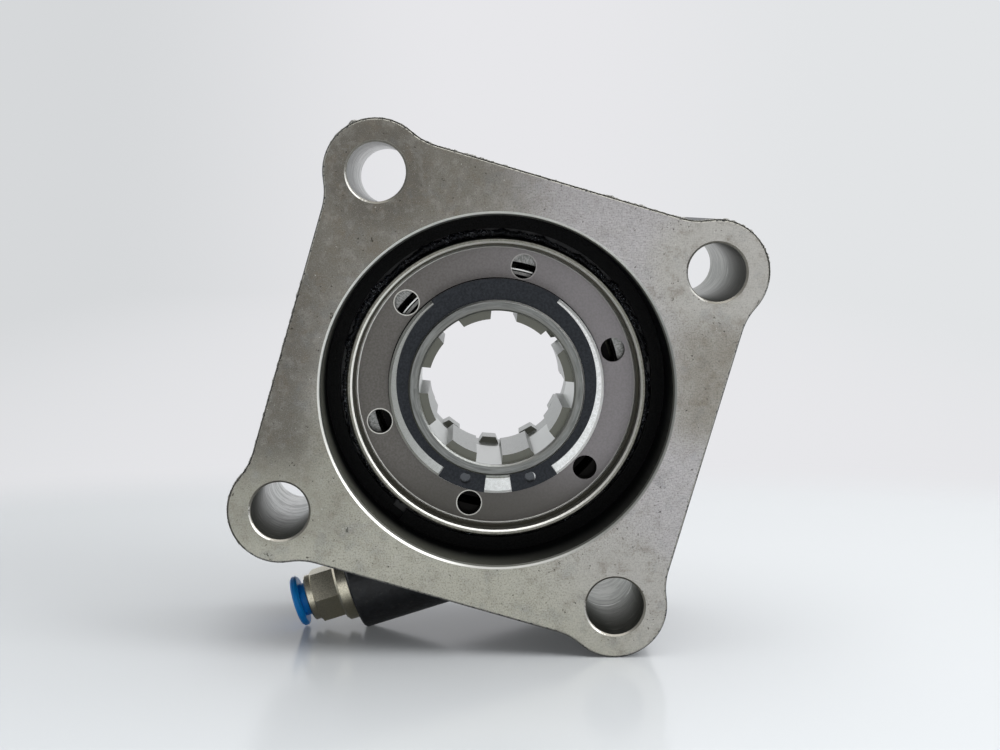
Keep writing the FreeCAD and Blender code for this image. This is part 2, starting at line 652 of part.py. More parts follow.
def make_piston():
    """Ring piston: a thin nose that carries the bearing, a stop step and the large rim."""
    turned("piston", [
        ("nose_bore_r + nose_chamfer", "nose_front"),
        ("nose_r - nose_chamfer", "nose_front"),
        ("nose_r", "nose_front + nose_chamfer"),
        ("nose_r", "step_front"),
        ("step_r", "step_front"),
        ("step_r", "rim_front"),
        ("rim_r", "rim_front"),
        ("rim_r", "rim_front + seal_groove_from"),
        ("seal_floor_r", "rim_front + seal_groove_from"),
        ("seal_floor_r", "rim_front + seal_groove_from + seal_groove_width"),
        ("rim_r", "rim_front + seal_groove_from + seal_groove_width"),
        ("rim_r", "rim_front + guide_groove_from"),
        ("guide_floor_r", "rim_front + guide_groove_from"),
        ("guide_floor_r", "rim_front + guide_groove_from + guide_groove_width"),
        ("rim_r", "rim_front + guide_groove_from + guide_groove_width"),
        ("rim_r", "rim_back"),
        ("pocket_r", "rim_back"),
        ("pocket_r", "pocket_floor"),
        ("web_inner_r", "pocket_floor"),
        ("web_inner_r", "race_back + web_relief"),
        ("race_r - web_land", "race_back + web_relief"),
        ("race_r - web_land", "race_back"),
        ("race_r", "race_back"),
        ("race_r", "lock_front"),
        ("nose_bore_r", "lock_front"),
        ("nose_bore_r", "nose_front + nose_chamfer"),
    ])

    groove_front = "rim_front + seal_groove_from + seat_gap"
    groove_back = "rim_front + seal_groove_from + seal_groove_width - seat_gap"
    lip_r, heel_r = "pilot_r - seat_gap", "seal_floor_r + seat_gap"
    turned("piston_seal", [
        (heel_r, groove_front),
        (f"{heel_r} + lip_thick / 2", groove_front),
        (f"({heel_r} + {lip_r}) / 2", f"{groove_back} - seal_heel"),
        (f"{lip_r} - lip_thick / 2", groove_front),
        (lip_r, groove_front),
        (lip_r, f"{groove_back} - seal_heel"),
        (f"{lip_r} - seal_bevel", groove_back),
        (heel_r, groove_back),
    ])

    guide = new_body("piston_guide_ring")
    section = sketch_on(guide, "guide_section", "XZ_Plane")
    outline(section, [
        ("guide_floor_r + seat_gap", "rim_front + guide_groove_from + seat_gap"),
        ("pilot_r - seat_gap", "rim_front + guide_groove_from + seat_gap"),
        ("pilot_r - seat_gap", "rim_front + guide_groove_from + guide_groove_width - seat_gap"),
        ("guide_floor_r + seat_gap", "rim_front + guide_groove_from + guide_groove_width - seat_gap"),
    ])
    turn_profile(guide, section, angle="360 - guide_gap_angle")


def make_race(label, inner, outer, front):
    """A bearing race: a chamfered ring with a round track for the balls."""
    body = turned(label, [
        (f"{inner} + race_chamfer", front),
        (f"{outer} - race_chamfer", front),
        (outer, f"{front} + race_chamfer"),
        (outer, "race_back - race_chamfer"),
        (f"{outer} - race_chamfer", "race_back"),
        (f"{inner} + race_chamfer", "race_back"),
        (inner, "race_back - race_chamfer"),
        (inner, f"{front} + race_chamfer"),
    ])
    track = sketch_on(body, label + "_track", "XZ_Plane")
    circle_at(track, "pitch_r", "race_mid", "ball_r + track_gap")
    turn_profile(body, track, cuts=True)


def make_bearing():
    make_race("bearing_inner_race", "seat_r + fit_gap", "inner_race_r", "inner_front")
    make_race("bearing_outer_race", "outer_race_r", "race_r - fit_gap", "race_front")

    cage = turned("bearing_cage", [
        ("pitch_r - cage_thick / 2", "race_mid - cage_width / 2"),
        ("pitch_r + cage_thick / 2", "race_mid - cage_width / 2"),
        ("pitch_r + cage_thick / 2", "race_mid + cage_width / 2"),
        ("pitch_r - cage_thick / 2", "race_mid + cage_width / 2"),
    ])
    window = sketch_on(cage, "ball_window", "YZ_Plane")
    circle_at(window, "0", "race_mid", "ball_r + pocket_gap")
    repeat(cage, raise_profile_towards_x(cage, window), "ball_count")

    balls = doc.addObject("Part::Feature", "bearing_balls")
    balls.Label = "bearing_balls"
    count = int(value("ball_count"))
    place = Vector(value("pitch_r"), 0, value("race_mid"))
    ball = Part.makeSphere(value("ball_r"), place)
    spun = [ball.rotated(Vector(0, 0, 0), Vector(0, 0, 1), 360 * i / count) for i in range(count)]
    balls.Shape = Part.makeCompound(spun)
    pieces.append(balls)

    lock = turned("lock_ring", [
        ("lock_inner_r", "lock_front"),
        ("race_r - fit_gap - lock_chamfer", "lock_front"),
        ("race_r - fit_gap", "lock_front + lock_chamfer"),
        ("race_r - fit_gap", "race_front"),
        ("lock_inner_r", "race_front"),
    ])
    hole = sketch_on(lock, "wrench_hole", "XY_Plane", ("0", "0", "lock_front"), "wrench_turn")
    circle_at(hole, "wrench_circle_r", "0", "wrench_hole_r")
    repeat(lock, raise_profile(lock, hole, "lock_thick", cuts=True), "wrench_holes")


def raise_profile_towards_x(body, sketch):
    """Pockets a sketch of the YZ plane through the body's wall on the +X side."""
    feature = body.newObject("PartDesign::Pocket", sketch.Name + "_run")
    feature.Profile = sketch
    feature.Reversed = True
    bind(feature, "Length", "pitch_r + cage_thick")
    return finish(body, feature, cuts=True)


def make_sleeve():
    """Splined sleeve: bearing seat, shoulder and tail outside, spline and rear teeth inside."""
    body = turned("splined_sleeve", [
        ("spline_root_r + mouth_chamfer", "sleeve_front"),
        ("seat_r - sleeve_step - sleeve_chamfer", "sleeve_front"),
        ("seat_r - sleeve_step", "sleeve_front + sleeve_chamfer"),
        ("seat_r - sleeve_step", "clip_front - clip_play"),
        ("clip_seat_r", "clip_front - clip_play"),
        ("clip_seat_r", "inner_front"),
        ("seat_r", "inner_front"),
        ("seat_r", "race_back"),
        ("seat_r + shoulder_rise", "race_back"),
        ("seat_r + shoulder_rise", "shoulder_back"),
        ("tail_r", "shoulder_back"),
        ("tail_r", "sleeve_back - sleeve_chamfer"),
        ("tail_r - sleeve_chamfer", "sleeve_back"),
        ("tail_bore_r", "sleeve_back"),
        ("tail_bore_r", "spline_back"),
        ("spline_r", "spline_back"),
        ("spline_r", "spline_front"),
        ("spline_root_r", "spline_front"),
        ("spline_root_r", "sleeve_front + mouth_chamfer"),
    ])
    groove = sketch_on(body, "spline_groove", "XY_Plane", ("0", "0", "spline_front"), "spline_turn")
    outline(groove, [
        ("spline_r - spline_depth", "-spline_width / 2"),
        (None, "-spline_width / 2"),
        (None, "spline_width / 2"),
        ("spline_r - spline_depth", "spline_width / 2"),
    ], arcs={1: "spline_root_r"})
    repeat(body, raise_profile(body, groove, "spline_len", cuts=True), "spline_count")

    teeth_front = ("0", "0", "sleeve_back - tooth_len")
    tooth = sketch_on(body, "rear_tooth", "XY_Plane", teeth_front, "tooth_turn")
    outline(tooth, [
        ("tail_bore_r - tooth_rise", "-tooth_tip / 2"),
        ("tail_bore_r", "-tooth_foot / 2"),
        ("tail_bore_r + tooth_sink", "-tooth_foot / 2"),
        ("tail_bore_r + tooth_sink", "tooth_foot / 2"),
        ("tail_bore_r", "tooth_foot / 2"),
        ("tail_bore_r - tooth_rise", "tooth_tip / 2"),
    ])
    repeat(body, raise_profile(body, tooth, "tooth_len"), "tooth_count")


def make_circlip():
    """External circlip: an eccentric ring with a gap towards +X between two lugs with eyes, and a
    wide lug opposite the gap."""
    body = new_body("sleeve_circlip")
    ring = sketch_on(body, "clip_ring", "XY_Plane", ("0", "0", "clip_front"))
    circle_at(ring, "-clip_shift", "0", "clip_r")
    raise_profile(body, ring, "clip_thick")
    lugs = (
        ("left_lug", "-clip_lug_angle / 2", "clip_lug_r", "clip_lug_angle / 2"),
        ("right_lug", "clip_lug_angle / 2", "clip_lug_r", "clip_lug_angle / 2"),
        ("back_lug", "180", "clip_back_r", "clip_back_angle / 2"),
    )
    for name, turn, radius, half in lugs:
        lug = sketch_on(body, name, "XY_Plane", ("0", "0", "clip_front"), turn)
        outline(lug, [
            ("0", "0"),
            (None, f"-{radius} * sin({half})"),
            (None, f"{radius} * sin({half})"),
        ], arcs={1: radius})
        raise_profile(body, lug, "clip_thick")
    middle = sketch_on(body, "clip_middle", "XY_Plane", ("0", "0", "clip_front"))
    circle_at(middle, "0", "0", "clip_seat_r + fit_gap")
    raise_profile(body, middle, "clip_thick", cuts=True)
    gap = sketch_on(body, "clip_gap", "XY_Plane", ("0", "0", "clip_front"))
    outline(gap, [
        ("0", "0"),
        ("2 * clip_r", "-2 * clip_r * tan(clip_gap_angle)"),
        ("2 * clip_r", "2 * clip_r * tan(clip_gap_angle)"),
    ])
    raise_profile(body, gap, "clip_thick", cuts=True)
    for name, sign in (("left_eye", "-"), ("right_eye", "")):
        eye = sketch_on(body, name, "XY_Plane", ("0", "0", "clip_front"), f"{sign}clip_eye_angle")
        circle_at(eye, "clip_eye_r", "0", "clip_hole_r")
        raise_profile(body, eye, "clip_thick", cuts=True)


def make_spring():
    """Return spring: flat wire along a helix, a quarter turn to each stretch."""
    body = new_body("return_spring")
    start = "pocket_floor + spring_gap + wire_height / 2"
    line = doc.addObject("Part::Helix", "spring_line")
    bind(line, "Pitch", "spring_run / spring_turns")
    bind(line, "Height", "spring_run")
    bind(line, "Radius", "spring_r")
    bind(line, "Placement.Base.z", start)
    line.SegmentLength = 0.25
    doc.recompute()
    wire = sketch_on(body, "wire_section", "XZ_Plane")
    outline(wire, [
        ("spring_r - wire_width / 2", f"{start} - wire_height / 2"),
        ("spring_r + wire_width / 2", f"{start} - wire_height / 2"),
        ("spring_r + wire_width / 2", f"{start} + wire_height / 2"),
        ("spring_r - wire_width / 2", f"{start} + wire_height / 2"),
    ])
    coil = body.newObject("PartDesign::AdditivePipe", "coil")
    coil.Profile = wire
    coil.Spine = (line, [f"Edge{i}" for i in range(1, len(line.Shape.Edges) + 1)])
    coil.Mode = "Frenet"
    finish(body, coil, cuts=False)


def make_fitting():
    """The push-in fitting's pieces, drawn with Z out along the boss from its face."""
    start = len(pieces)
    body = turned("fitting_body", [
        ("duct_r", "-stem_len"),
        ("stem_r - stem_chamfer", "-stem_len"),
        ("stem_r", "stem_chamfer - stem_len"),
        ("stem_r", "washer_thick"),
        ("collar_r", "washer_thick"),
        ("collar_r", "collar_top - collar_chamfer"),
        ("collar_r - collar_chamfer", "collar_top"),
        ("band_r", "collar_top"),
        ("band_r", "band_top - band_chamfer"),
        ("band_r - band_chamfer", "band_top"),
        ("chamber_r", "band_top"),
        ("chamber_r", "chamber_from"),
        ("way_r", "chamber_from"),
        ("way_r", "-tube_stop"),
        ("duct_r", "-tube_stop"),
    ])
    hexagon = sketch_on(body, "hexagon", "XY_Plane", ("0", "0", "collar_top"))
    outline(hexagon, [(f"hex_corner * cos({a})", f"hex_corner * sin({a})") for a in range(0, 360, 60)])
    circle_at(hexagon, "0", "0", "(band_r + chamber_r) / 2")
    raise_profile(body, hexagon, "hex_len")
    corners = sketch_on(body, "hex_corners", "XZ_Plane")
    outline(corners, [
        ("hex_half", "hex_top"),
        ("hex_corner + cut_over", "hex_top"),
        ("hex_corner + cut_over", "hex_top - (hex_corner + cut_over - hex_half) * hex_slope"),
    ])
    turn_profile(body, corners, cuts=True)

    turned("fitting_seal", [
        ("washer_hole_r", "0"),
        ("washer_r", "0"),
        ("washer_r", "washer_thick"),
        ("washer_hole_r", "washer_thick"),
    ])
    round_ring(
        "tube_o_ring",
        "(way_r + chamber_r) / 2",
        "chamber_from + part_gap + tube_ring_cord / 2",
        "tube_ring_cord / 2",
    )
    turned("tube_support_ring", [
        ("way_r", "ring_top + part_gap"),
        ("end_ring_r", "ring_top + part_gap"),
        ("end_ring_r", "support_top"),
        ("way_r", "support_top"),
    ])
    claws = turned("grip_ring", [
        ("end_ring_r", "claw_top - claw_thick"),
        ("end_ring_r", "claw_top"),
        ("(way_r + chamber_r) / 2", "claw_top"),
        ("way_r + claw_thick", "support_top + part_gap"),
        ("way_r", "support_top + part_gap"),
        ("(way_r + chamber_r) / 2 - claw_thick", "claw_top - claw_thick"),
    ])
    slot = sketch_on(claws, "claw_slot", "XY_Plane", ("0", "0", "support_top"))
    outline(slot, [
        ("0", "-claw_thick / 2"),
        ("chamber_r - 2 * claw_thick", "-claw_thick / 2"),
        ("chamber_r - 2 * claw_thick", "claw_thick / 2"),
        ("0", "claw_thick / 2"),
    ])
    repeat(claws, raise_profile(claws, slot, "claw_len + 2 * part_gap", cuts=True), "claw_slots")
    turned("fitting_sleeve", [
        ("end_ring_r - end_ring_skirt", "claw_top + part_gap"),
        ("end_ring_r", "claw_top + part_gap"),
        ("end_ring_r", "end_ring_top"),
        ("end_ring_r - end_ring_wall", "end_ring_top"),
        ("end_ring_r - end_ring_wall", "end_ring_foot"),
        ("end_ring_r - end_ring_skirt", "end_ring_foot"),
    ])
    turned("release_collar", [
        ("tube_r", "release_foot"),
        ("foot_r - foot_chamfer", "release_foot"),
        ("foot_r", "release_foot + foot_chamfer"),
        ("foot_r", "foot_top"),
        ("neck_r", "foot_top"),
        ("neck_r", "release_under"),
        ("release_r - release_round", "release_under"),
        ("release_r", "release_under + release_round"),
        ("release_r", "release_top - release_round"),
        ("release_r - release_round", "release_top"),
        ("tube_r + release_round", "release_top"),
        ("tube_r", "release_top - release_round"),
    ])
    return pieces[start:]


def roll_angle():
    """The roll that sets a flange lobe and the boss's lower corner on one level line."""
    angle, offset, reach = value("boss_angle"), value("boss_offset"), value("boss_reach")
    spin = Rotation(Vector(0, 0, 1), 180 - angle)
    corner = spin.multVec(Vector(reach - value("boss_chamfer"), -offset - value("boss_r"), 0))
    step = corner - Vector(value("bolt_half"), value("bolt_half"), 0)
    lean = math.asin(value("lobe_r") / step.Length)
    return math.degrees(math.pi - math.atan2(step.y, step.x) - lean)


def place_pieces(fitting):
    """Turns every piece from the unit's own frame into the finished part's frame."""
    own_turn = {
        "sleeve_circlip": value("clip_turn"),
        "bore_snap_ring": value("snap_turn + snap_gap_angle / 2"),
    }
    unit = Placement(Vector(0, 0, 0), Rotation(Vector(0, 1, 0), roll_angle()))
    unit = unit * Placement(Vector(0, 0, 0), Rotation(Vector(1, 0, 0), -90))
    offset, angle = value("boss_offset"), value("boss_angle")
    outward = Rotation(Vector(0, 0, 1), 180 - angle)
    mouth = outward.multVec(Vector(value("boss_reach"), -offset, 0)) + Vector(0, 0, value("boss_depth"))
    boss = Placement(mouth, outward * Rotation(Vector(0, 1, 0), 90))
    for piece in pieces:
        if piece in fitting:
            piece.Placement = unit * boss
        else:
            turn = Rotation(Vector(0, 0, 1), own_turn.get(piece.Label, 0.0))
            piece.Placement = unit * Placement(Vector(0, 0, 0), turn)


def write_pieces():
    """Checks every object and writes one file for each piece."""
    doc.recompute()
    for thing in doc.Objects:
        if "Invalid" in thing.State or "Error" in thing.State:
            raise RuntimeError(f"{thing.Name} did not build: {thing.State}")
    os.makedirs("parts", exist_ok=True)
    for piece in pieces:
        if piece.Shape.isNull() or not piece.Shape.isValid():
            raise RuntimeError(f"{piece.Label} has no valid shape")
        piece.Shape.exportStep(f"parts/{piece.Label}.step")


sheet = make_sheet()
make_housing()
make_bore_rings()
make_piston()
make_bearing()
make_sleeve()
make_circlip()
make_spring()
place_pieces(make_fitting())
write_pieces()
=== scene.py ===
"""Looks of the power take off unit: finishes, grease, casting skin, floor, light and camera."""
import math

import bmesh
import bpy
from mathutils import Matrix, Vector, noise
from mathutils.bvhtree import BVHTree


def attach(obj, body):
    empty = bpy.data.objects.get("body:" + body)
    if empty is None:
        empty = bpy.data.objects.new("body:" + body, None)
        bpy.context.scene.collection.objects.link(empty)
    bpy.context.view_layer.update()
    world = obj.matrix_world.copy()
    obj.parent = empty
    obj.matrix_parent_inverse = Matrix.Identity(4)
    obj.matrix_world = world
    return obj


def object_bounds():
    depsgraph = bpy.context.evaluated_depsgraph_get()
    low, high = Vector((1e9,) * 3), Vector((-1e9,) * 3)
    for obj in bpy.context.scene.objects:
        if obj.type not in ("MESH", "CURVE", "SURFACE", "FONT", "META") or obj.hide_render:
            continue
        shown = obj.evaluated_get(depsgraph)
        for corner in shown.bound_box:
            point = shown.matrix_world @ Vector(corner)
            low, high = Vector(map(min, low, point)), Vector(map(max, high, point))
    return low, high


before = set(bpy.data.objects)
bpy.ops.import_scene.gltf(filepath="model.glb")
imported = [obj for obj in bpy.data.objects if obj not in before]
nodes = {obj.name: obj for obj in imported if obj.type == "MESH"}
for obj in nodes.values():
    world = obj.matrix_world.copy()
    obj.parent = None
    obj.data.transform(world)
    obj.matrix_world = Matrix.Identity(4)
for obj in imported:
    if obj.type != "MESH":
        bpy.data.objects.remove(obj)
cad_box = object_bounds()

MM = 0.001
ROLL = math.radians(16.3735)
FLOOR_Z = -61.70

# Places on the unit that the finishes follow, in millimetres: radii about an axis along Y,
# and depths along Y behind the flange face. Angles are in degrees from X towards Z.
HOUSING_LENGTH = 58.0
BOLT_HALF = 40.0
HOLE_LIP_RADIUS = 7.1
HOLE_LIP_DEPTH = 0.42
BORE_LIP_RADIUS = 40.8
BORE_LIP_FOOT = 40.28
BORE_LIP_DEPTH = 0.85
LOCK_FRONT = 14.8
LOCK_EDGE_DEPTH = 15.0
LOCK_EDGE_RADIUS = 32.44
WRENCH_TURN = 17.0
WRENCH_CIRCLE = 28.65
WRENCH_HOLE = 2.85
NOSE_FRONT = 9.6
NOSE_CHAMFER_END = 9.68
NOSE_BORE_RADIUS = 33.95
NOSE_EDGE_RADIUS = 34.5
CLIP_EYE_ANGLES = (-71.0, -109.0)
CLIP_EYE_CIRCLE = 22.5
CLIP_EYE_RADIUS = 1.5
RACE_FRONT_END = 13.0
RACE_EDGE_RADIUS = 24.5
CAGE_RIB = (27.45, 27.8)
CAGE_GAP = (27.15, 27.4)
CAGE_INNER_RADIUS = 26.4
SLEEVE_EDGE_DEPTH = 8.8
SLEEVE_EDGE_RADIUS = 20.0
SPLINE_FLOOR_RADIUS = 17.7
SPLINE_MOUTH_RADIUS = 18.8
SPLINE_STEP_RADIUS = 18.3
SPLINE_ENDS = (10.0, 39.0)


def tone(red, green, blue):
    """A colour as it looks on a screen, 0 to 255, as the shader's own values."""
    parts = [c / 255 for c in (red, green, blue)]
    return tuple(c / 12.92 if c <= 0.04045 else ((c + 0.055) / 1.055) ** 2.4 for c in parts) + (1.0,)


class Finish:
    """A procedural material, written in millimetres of the object's own frame."""

    def __init__(self, name, **shader):
        self.material = bpy.data.materials.new(name)
        self.material.use_nodes = True
        self.tree = self.material.node_tree
        self.tree.nodes.clear()
        self.shader = self.add("ShaderNodeBsdfPrincipled")
        self.set(**shader)
        self.output = self.add("ShaderNodeOutputMaterial")
        self.tree.links.new(self.shader.outputs[0], self.output.inputs[0])
        coords = self.add("ShaderNodeTexCoord")
        self.normal = coords.outputs["Normal"]
        self.at = self.vector("SCALE", coords.outputs["Object"], scale=1 / MM)
        split = self.add("ShaderNodeSeparateXYZ", {0: self.at})
        self.x, self.y, self.z = split.outputs

    def add(self, kind, inputs=None, **settings):
        node = self.tree.nodes.new(kind)
        for key, value in settings.items():
            setattr(node, key, value)
        for key, value in (inputs or {}).items():
            self.put(node.inputs[key], value)
        return node

    def put(self, socket, value):
        if isinstance(value, bpy.types.NodeSocket):
            self.tree.links.new(value, socket)
        elif value is not None:
            socket.default_value = value

    def set(self, **shader):
        for key, value in shader.items():
            self.put(self.shader.inputs[key.replace("_", " ")], value)

    def vector(self, operation, a, b=None, scale=None):
        inputs = {0: a, 1: b} if scale is None else {0: a, 3: scale}
        return self.add("ShaderNodeVectorMath", inputs, operation=operation).outputs[0]

    def point(self, x, y, z):
        return self.add("ShaderNodeCombineXYZ", {0: x, 1: y, 2: z}).outputs[0]

    def length(self, vector):
        return self.add("ShaderNodeVectorMath", {0: vector}, operation="LENGTH").outputs["Value"]

    def calc(self, operation, a, b=None, c=None):
        return self.add("ShaderNodeMath", {0: a, 1: b, 2: c}, operation=operation).outputs[0]

    def ramp(self, value, low, high, first=0.0, last=1.0):
        """A smooth step from first, below low, to last, above high."""
        if low > high:
            low, high, first, last = high, low, last, first
        inputs = {0: value, 1: low, 2: high, 3: first, 4: last}
        return self.add("ShaderNodeMapRange", inputs, interpolation_type="SMOOTHSTEP").outputs[0]

    def band(self, value, low, high, soft):
        """One between low and high, nought outside."""
        return self.calc("MULTIPLY", self.ramp(value, low - soft, low), self.ramp(value, high + soft, high))

    def mix(self, share, a, b):
        node = self.add("ShaderNodeMix", {0: share, 6: a, 7: b}, data_type="RGBA")
        return node.outputs[2]

    def lay(self, colour, *layers):
        """Colours laid over the first one, each by a share of the place."""
        for share, upper in layers:
            colour = self.mix(share, colour, upper)
        return colour

    def blend(self, share, a, b):
        node = self.add("ShaderNodeMix", {0: share, 2: a, 3: b}, data_type="FLOAT")
        return node.outputs[0]

    def mixed_sum(self, a, first, b, second):
        """The sum of two values, each times its own weight."""
        return self.calc("MULTIPLY_ADD", b, second, self.calc("MULTIPLY", a, first))

    def every(self, *shares):
        """The product of several shares."""
        out = shares[0]
        for share in shares[1:]:
            out = self.calc("MULTIPLY", out, share)
        return out

    def most(self, *shares):
        """The largest of several shares."""
        out = shares[0]
        for share in shares[1:]:
            out = self.calc("MAXIMUM", out, share)
        return out

    def turned_off(self, share):
        return self.calc("SUBTRACT", 1.0, share)

    def moved(self, x, y, z):
        return self.vector("ADD", self.at, (x, y, z))

    def stretched(self, turn=(0, 0, 0), scale=(1, 1, 1)):
        """The place, turned about the axes and then scaled."""
        inputs = {0: self.at, 2: turn, 3: scale}
        return self.add("ShaderNodeMapping", inputs, vector_type="POINT").outputs[0]

    def noise(self, size, detail=3.0, rough=0.55, at=None, distort=0.0):
        """Noise with grains of about that size."""
        inputs = {"Vector": at or self.at, "Scale": 1 / size, "Detail": detail, "Roughness": rough}
        inputs["Distortion"] = distort
        return self.add("ShaderNodeTexNoise", inputs).outputs[0]

    def spots(self, size, share, reach):
        """Scattered spots: one cell in every 1/share holds one, out to reach cells from its middle."""
        node = self.add("ShaderNodeTexVoronoi", {"Vector": self.at, "Scale": 1 / size})
        pick = self.add("ShaderNodeSeparateColor", {0: node.outputs["Color"]}).outputs[0]
        ragged = self.calc("ADD", node.outputs["Distance"], self.noise(size * 0.2, detail=2.0))
        ragged = self.calc("SUBTRACT", ragged, 0.5)
        chosen = self.ramp(pick, 1 - share, 1 - share + 0.01)
        return self.every(self.ramp(ragged, reach, reach * 0.6), chosen)

    def radius(self, x=0.0, z=0.0):
        """Distance from an axis along Y."""
        across = self.calc("SUBTRACT", self.x, x)
        up = self.calc("SUBTRACT", self.z, z)
        return self.length(self.point(across, 0.0, up))

    def angle(self):
        """Angle about the main axis, in radians."""
        return self.calc("ARCTAN2", self.z, self.x)

    def facing(self):
        """The surface's own direction along Y, minus one towards the pump."""
        return self.add("ShaderNodeSeparateXYZ", {0: self.normal}).outputs[1]

    def bump(self, height, depth):
        """Raises the surface by height times depth, in millimetres."""
        inputs = {"Height": height, "Distance": depth * MM, "Strength": 1.0}
        return self.add("ShaderNodeBump", inputs).outputs[0]


def give(finish, *names):
    """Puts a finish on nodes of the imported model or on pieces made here."""
    for name in names:
        piece = nodes[name] if isinstance(name, str) else name
        piece.data.materials.clear()
        piece.data.materials.append(finish.material)


class Around:
    """Distance and direction from the nearest bolt hole's axis."""

    def __init__(self, f):
        self.f = f
        self.cos, self.sin = math.cos(ROLL), math.sin(ROLL)
        across = f.mixed_sum(f.x, self.cos, f.z, -self.sin)
        down = f.mixed_sum(f.x, -self.sin, f.z, -self.cos)
        self.across, self.down = self.from_hole(across), self.from_hole(down)
        self.radius = f.length(f.point(self.across, 0.0, self.down))

    def from_hole(self, along_side):
        """Distance along one side of the bolt square, from the nearest hole's axis."""
        hole = self.f.calc("MULTIPLY", self.f.calc("SIGN", along_side), BOLT_HALF)
        return self.f.calc("SUBTRACT", along_side, hole)

    def toward(self, x, z):
        """One on the side of the hole that lies towards x, z, and minus one opposite it."""
        far = math.hypot(x, z)
        across = (x * self.cos - z * self.sin) / far
        down = (-x * self.sin - z * self.cos) / far
        return self.f.calc("DIVIDE", self.f.mixed_sum(self.across, across, self.down, down), self.radius)


def milled_face(f, around):
    """Milled metal: its colour, with painted shade to the left and upper left and painted light to the
    lower right, and the grain, tool marks and pits that its height follows.
    """
    blotch = f.noise(9.0, detail=4.0, rough=0.6)
    # Painted light and shade: the face is darker to the upper left and lighter to the lower right, broken
    # up by blotches.
    light_slope = f.mixed_sum(f.x, 0.55, f.z, -0.85)
    light_slope = f.calc("ADD", light_slope, f.calc("MULTIPLY", f.calc("SUBTRACT", blotch, 0.5), 26.0))
    ground = f.mix(f.ramp(light_slope, -46, -8), tone(126, 122, 113), tone(186, 183, 177))

    olive = f.every(f.ramp(f.mixed_sum(f.z, -1.0, f.x, -1.0), 10, 45), f.ramp(f.z, 8, -16))
    stained = f.every(f.ramp(f.x, 34, 46), f.band(f.z, -6, 10, soft=10))
    violet = f.every(f.ramp(f.mixed_sum(f.x, 1.0, f.z, 0.3), 10, 32), f.ramp(around.radius, 11, 20))
    violet = f.every(violet, f.turned_off(f.every(stained, 0.9)))
    # Painted shade: the lower left, the left side and the upper left lobe are darker.
    shaded_lower_left = f.every(f.ramp(f.x, -26, -38), f.band(f.z, -30, -8, soft=8))
    shaded_top_lobe = f.every(f.ramp(f.x, 0, -12), f.ramp(around.radius, 15, 9), f.ramp(f.z, 0, 20))
    left = f.most(f.every(f.ramp(f.x, -37, -47), f.ramp(f.z, -24, -10)), shaded_top_lobe)

    brown = f.ramp(f.noise(4.2, detail=5.0, rough=0.72), 0.46, 0.7)
    brown = f.every(brown, f.turned_off(f.every(violet, 0.6)), f.blend(olive, 0.55, 0.36))
    bluish = f.ramp(f.noise(4.3, detail=4.0, rough=0.65, at=f.moved(31.0, 7.0, 53.0)), 0.52, 0.7)
    clouds = f.ramp(f.noise(2.2, detail=3.0, rough=0.6, at=f.moved(11.0, 3.0, 5.0)), 0.46, 0.7)
    grain = f.noise(0.38, detail=3.0, rough=0.62)
    coarse = f.blend(f.every(f.ramp(around.radius, 15, 10), f.turned_off(violet)), 0.4, 0.24)
    glints = f.ramp(f.noise(0.2, detail=2.0, rough=0.6), 0.56, 0.72)
    cutter_way = f.stretched((0, math.radians(-42), 0), (0.3, 1, 1.5))
    cut = f.noise(0.42, detail=2.0, rough=0.5, at=cutter_way)
    cluster = f.ramp(f.noise(7.0, detail=2.0), 0.46, 0.56)
    small = f.every(f.spots(1.2, share=0.3, reach=0.17), cluster)
    pits = f.most(small, f.spots(0.75, share=0.05, reach=0.2), f.spots(3.1, share=0.1, reach=0.1))
    flecks = f.spots(0.8, share=0.12, reach=0.16)
    flecks = f.every(flecks, f.ramp(f.noise(11.0, detail=2.0), 0.48, 0.6), f.turned_off(violet), 0.8)

    colour = f.lay(
        ground,
        (f.every(olive, 0.85), tone(190, 188, 173)),
        (f.every(violet, 0.65), tone(196, 192, 195)),
        (f.every(stained, 0.7), tone(140, 134, 122)),
        (f.every(shaded_lower_left, 0.4), tone(124, 121, 110)),
        (f.every(left, 0.84), tone(106, 102, 94)),
        (brown, tone(122, 112, 98)),
        (f.every(bluish, 0.24), tone(120, 124, 127)),
        (f.every(clouds, 0.16), tone(196, 194, 188)),
        (f.every(f.ramp(grain, 0.54, 0.34), coarse), tone(94, 91, 84)),
        (f.every(glints, 0.42), tone(208, 207, 202)),
        (f.every(f.ramp(cut, 0.4, 0.6), f.blend(violet, 0.1, 0.24)), tone(120, 117, 116)),
        (f.every(pits, 0.75), tone(50, 46, 40)),
        (flecks, tone(214, 213, 206)),
    )
    return colour, grain, cut, pits


def cast_paint(f):
    """Black paint on the cast sides: its colour, its lumps, and where the edges are worn bare."""
    lumps = f.noise(1.6, detail=4.0, rough=0.6)
    dust = f.ramp(f.noise(2.4, detail=4.0, rough=0.7), 0.56, 0.74)
    middle = HOUSING_LENGTH / 2
    from_middle = f.calc("ABSOLUTE", f.calc("SUBTRACT", f.y, middle))
    near_edge = f.ramp(from_middle, middle - 0.55, middle - 0.1)
    worn = f.every(near_edge, f.ramp(f.noise(0.7, detail=3.0, rough=0.7), 0.38, 0.48))
    colour = f.lay(
        f.mix(f.ramp(lumps, 0.3, 0.7), tone(15, 16, 19), tone(33, 35, 39)),
        (f.every(dust, 0.35), tone(92, 91, 86)),
        (worn, tone(158, 156, 148)),
    )
    return colour, lumps, worn


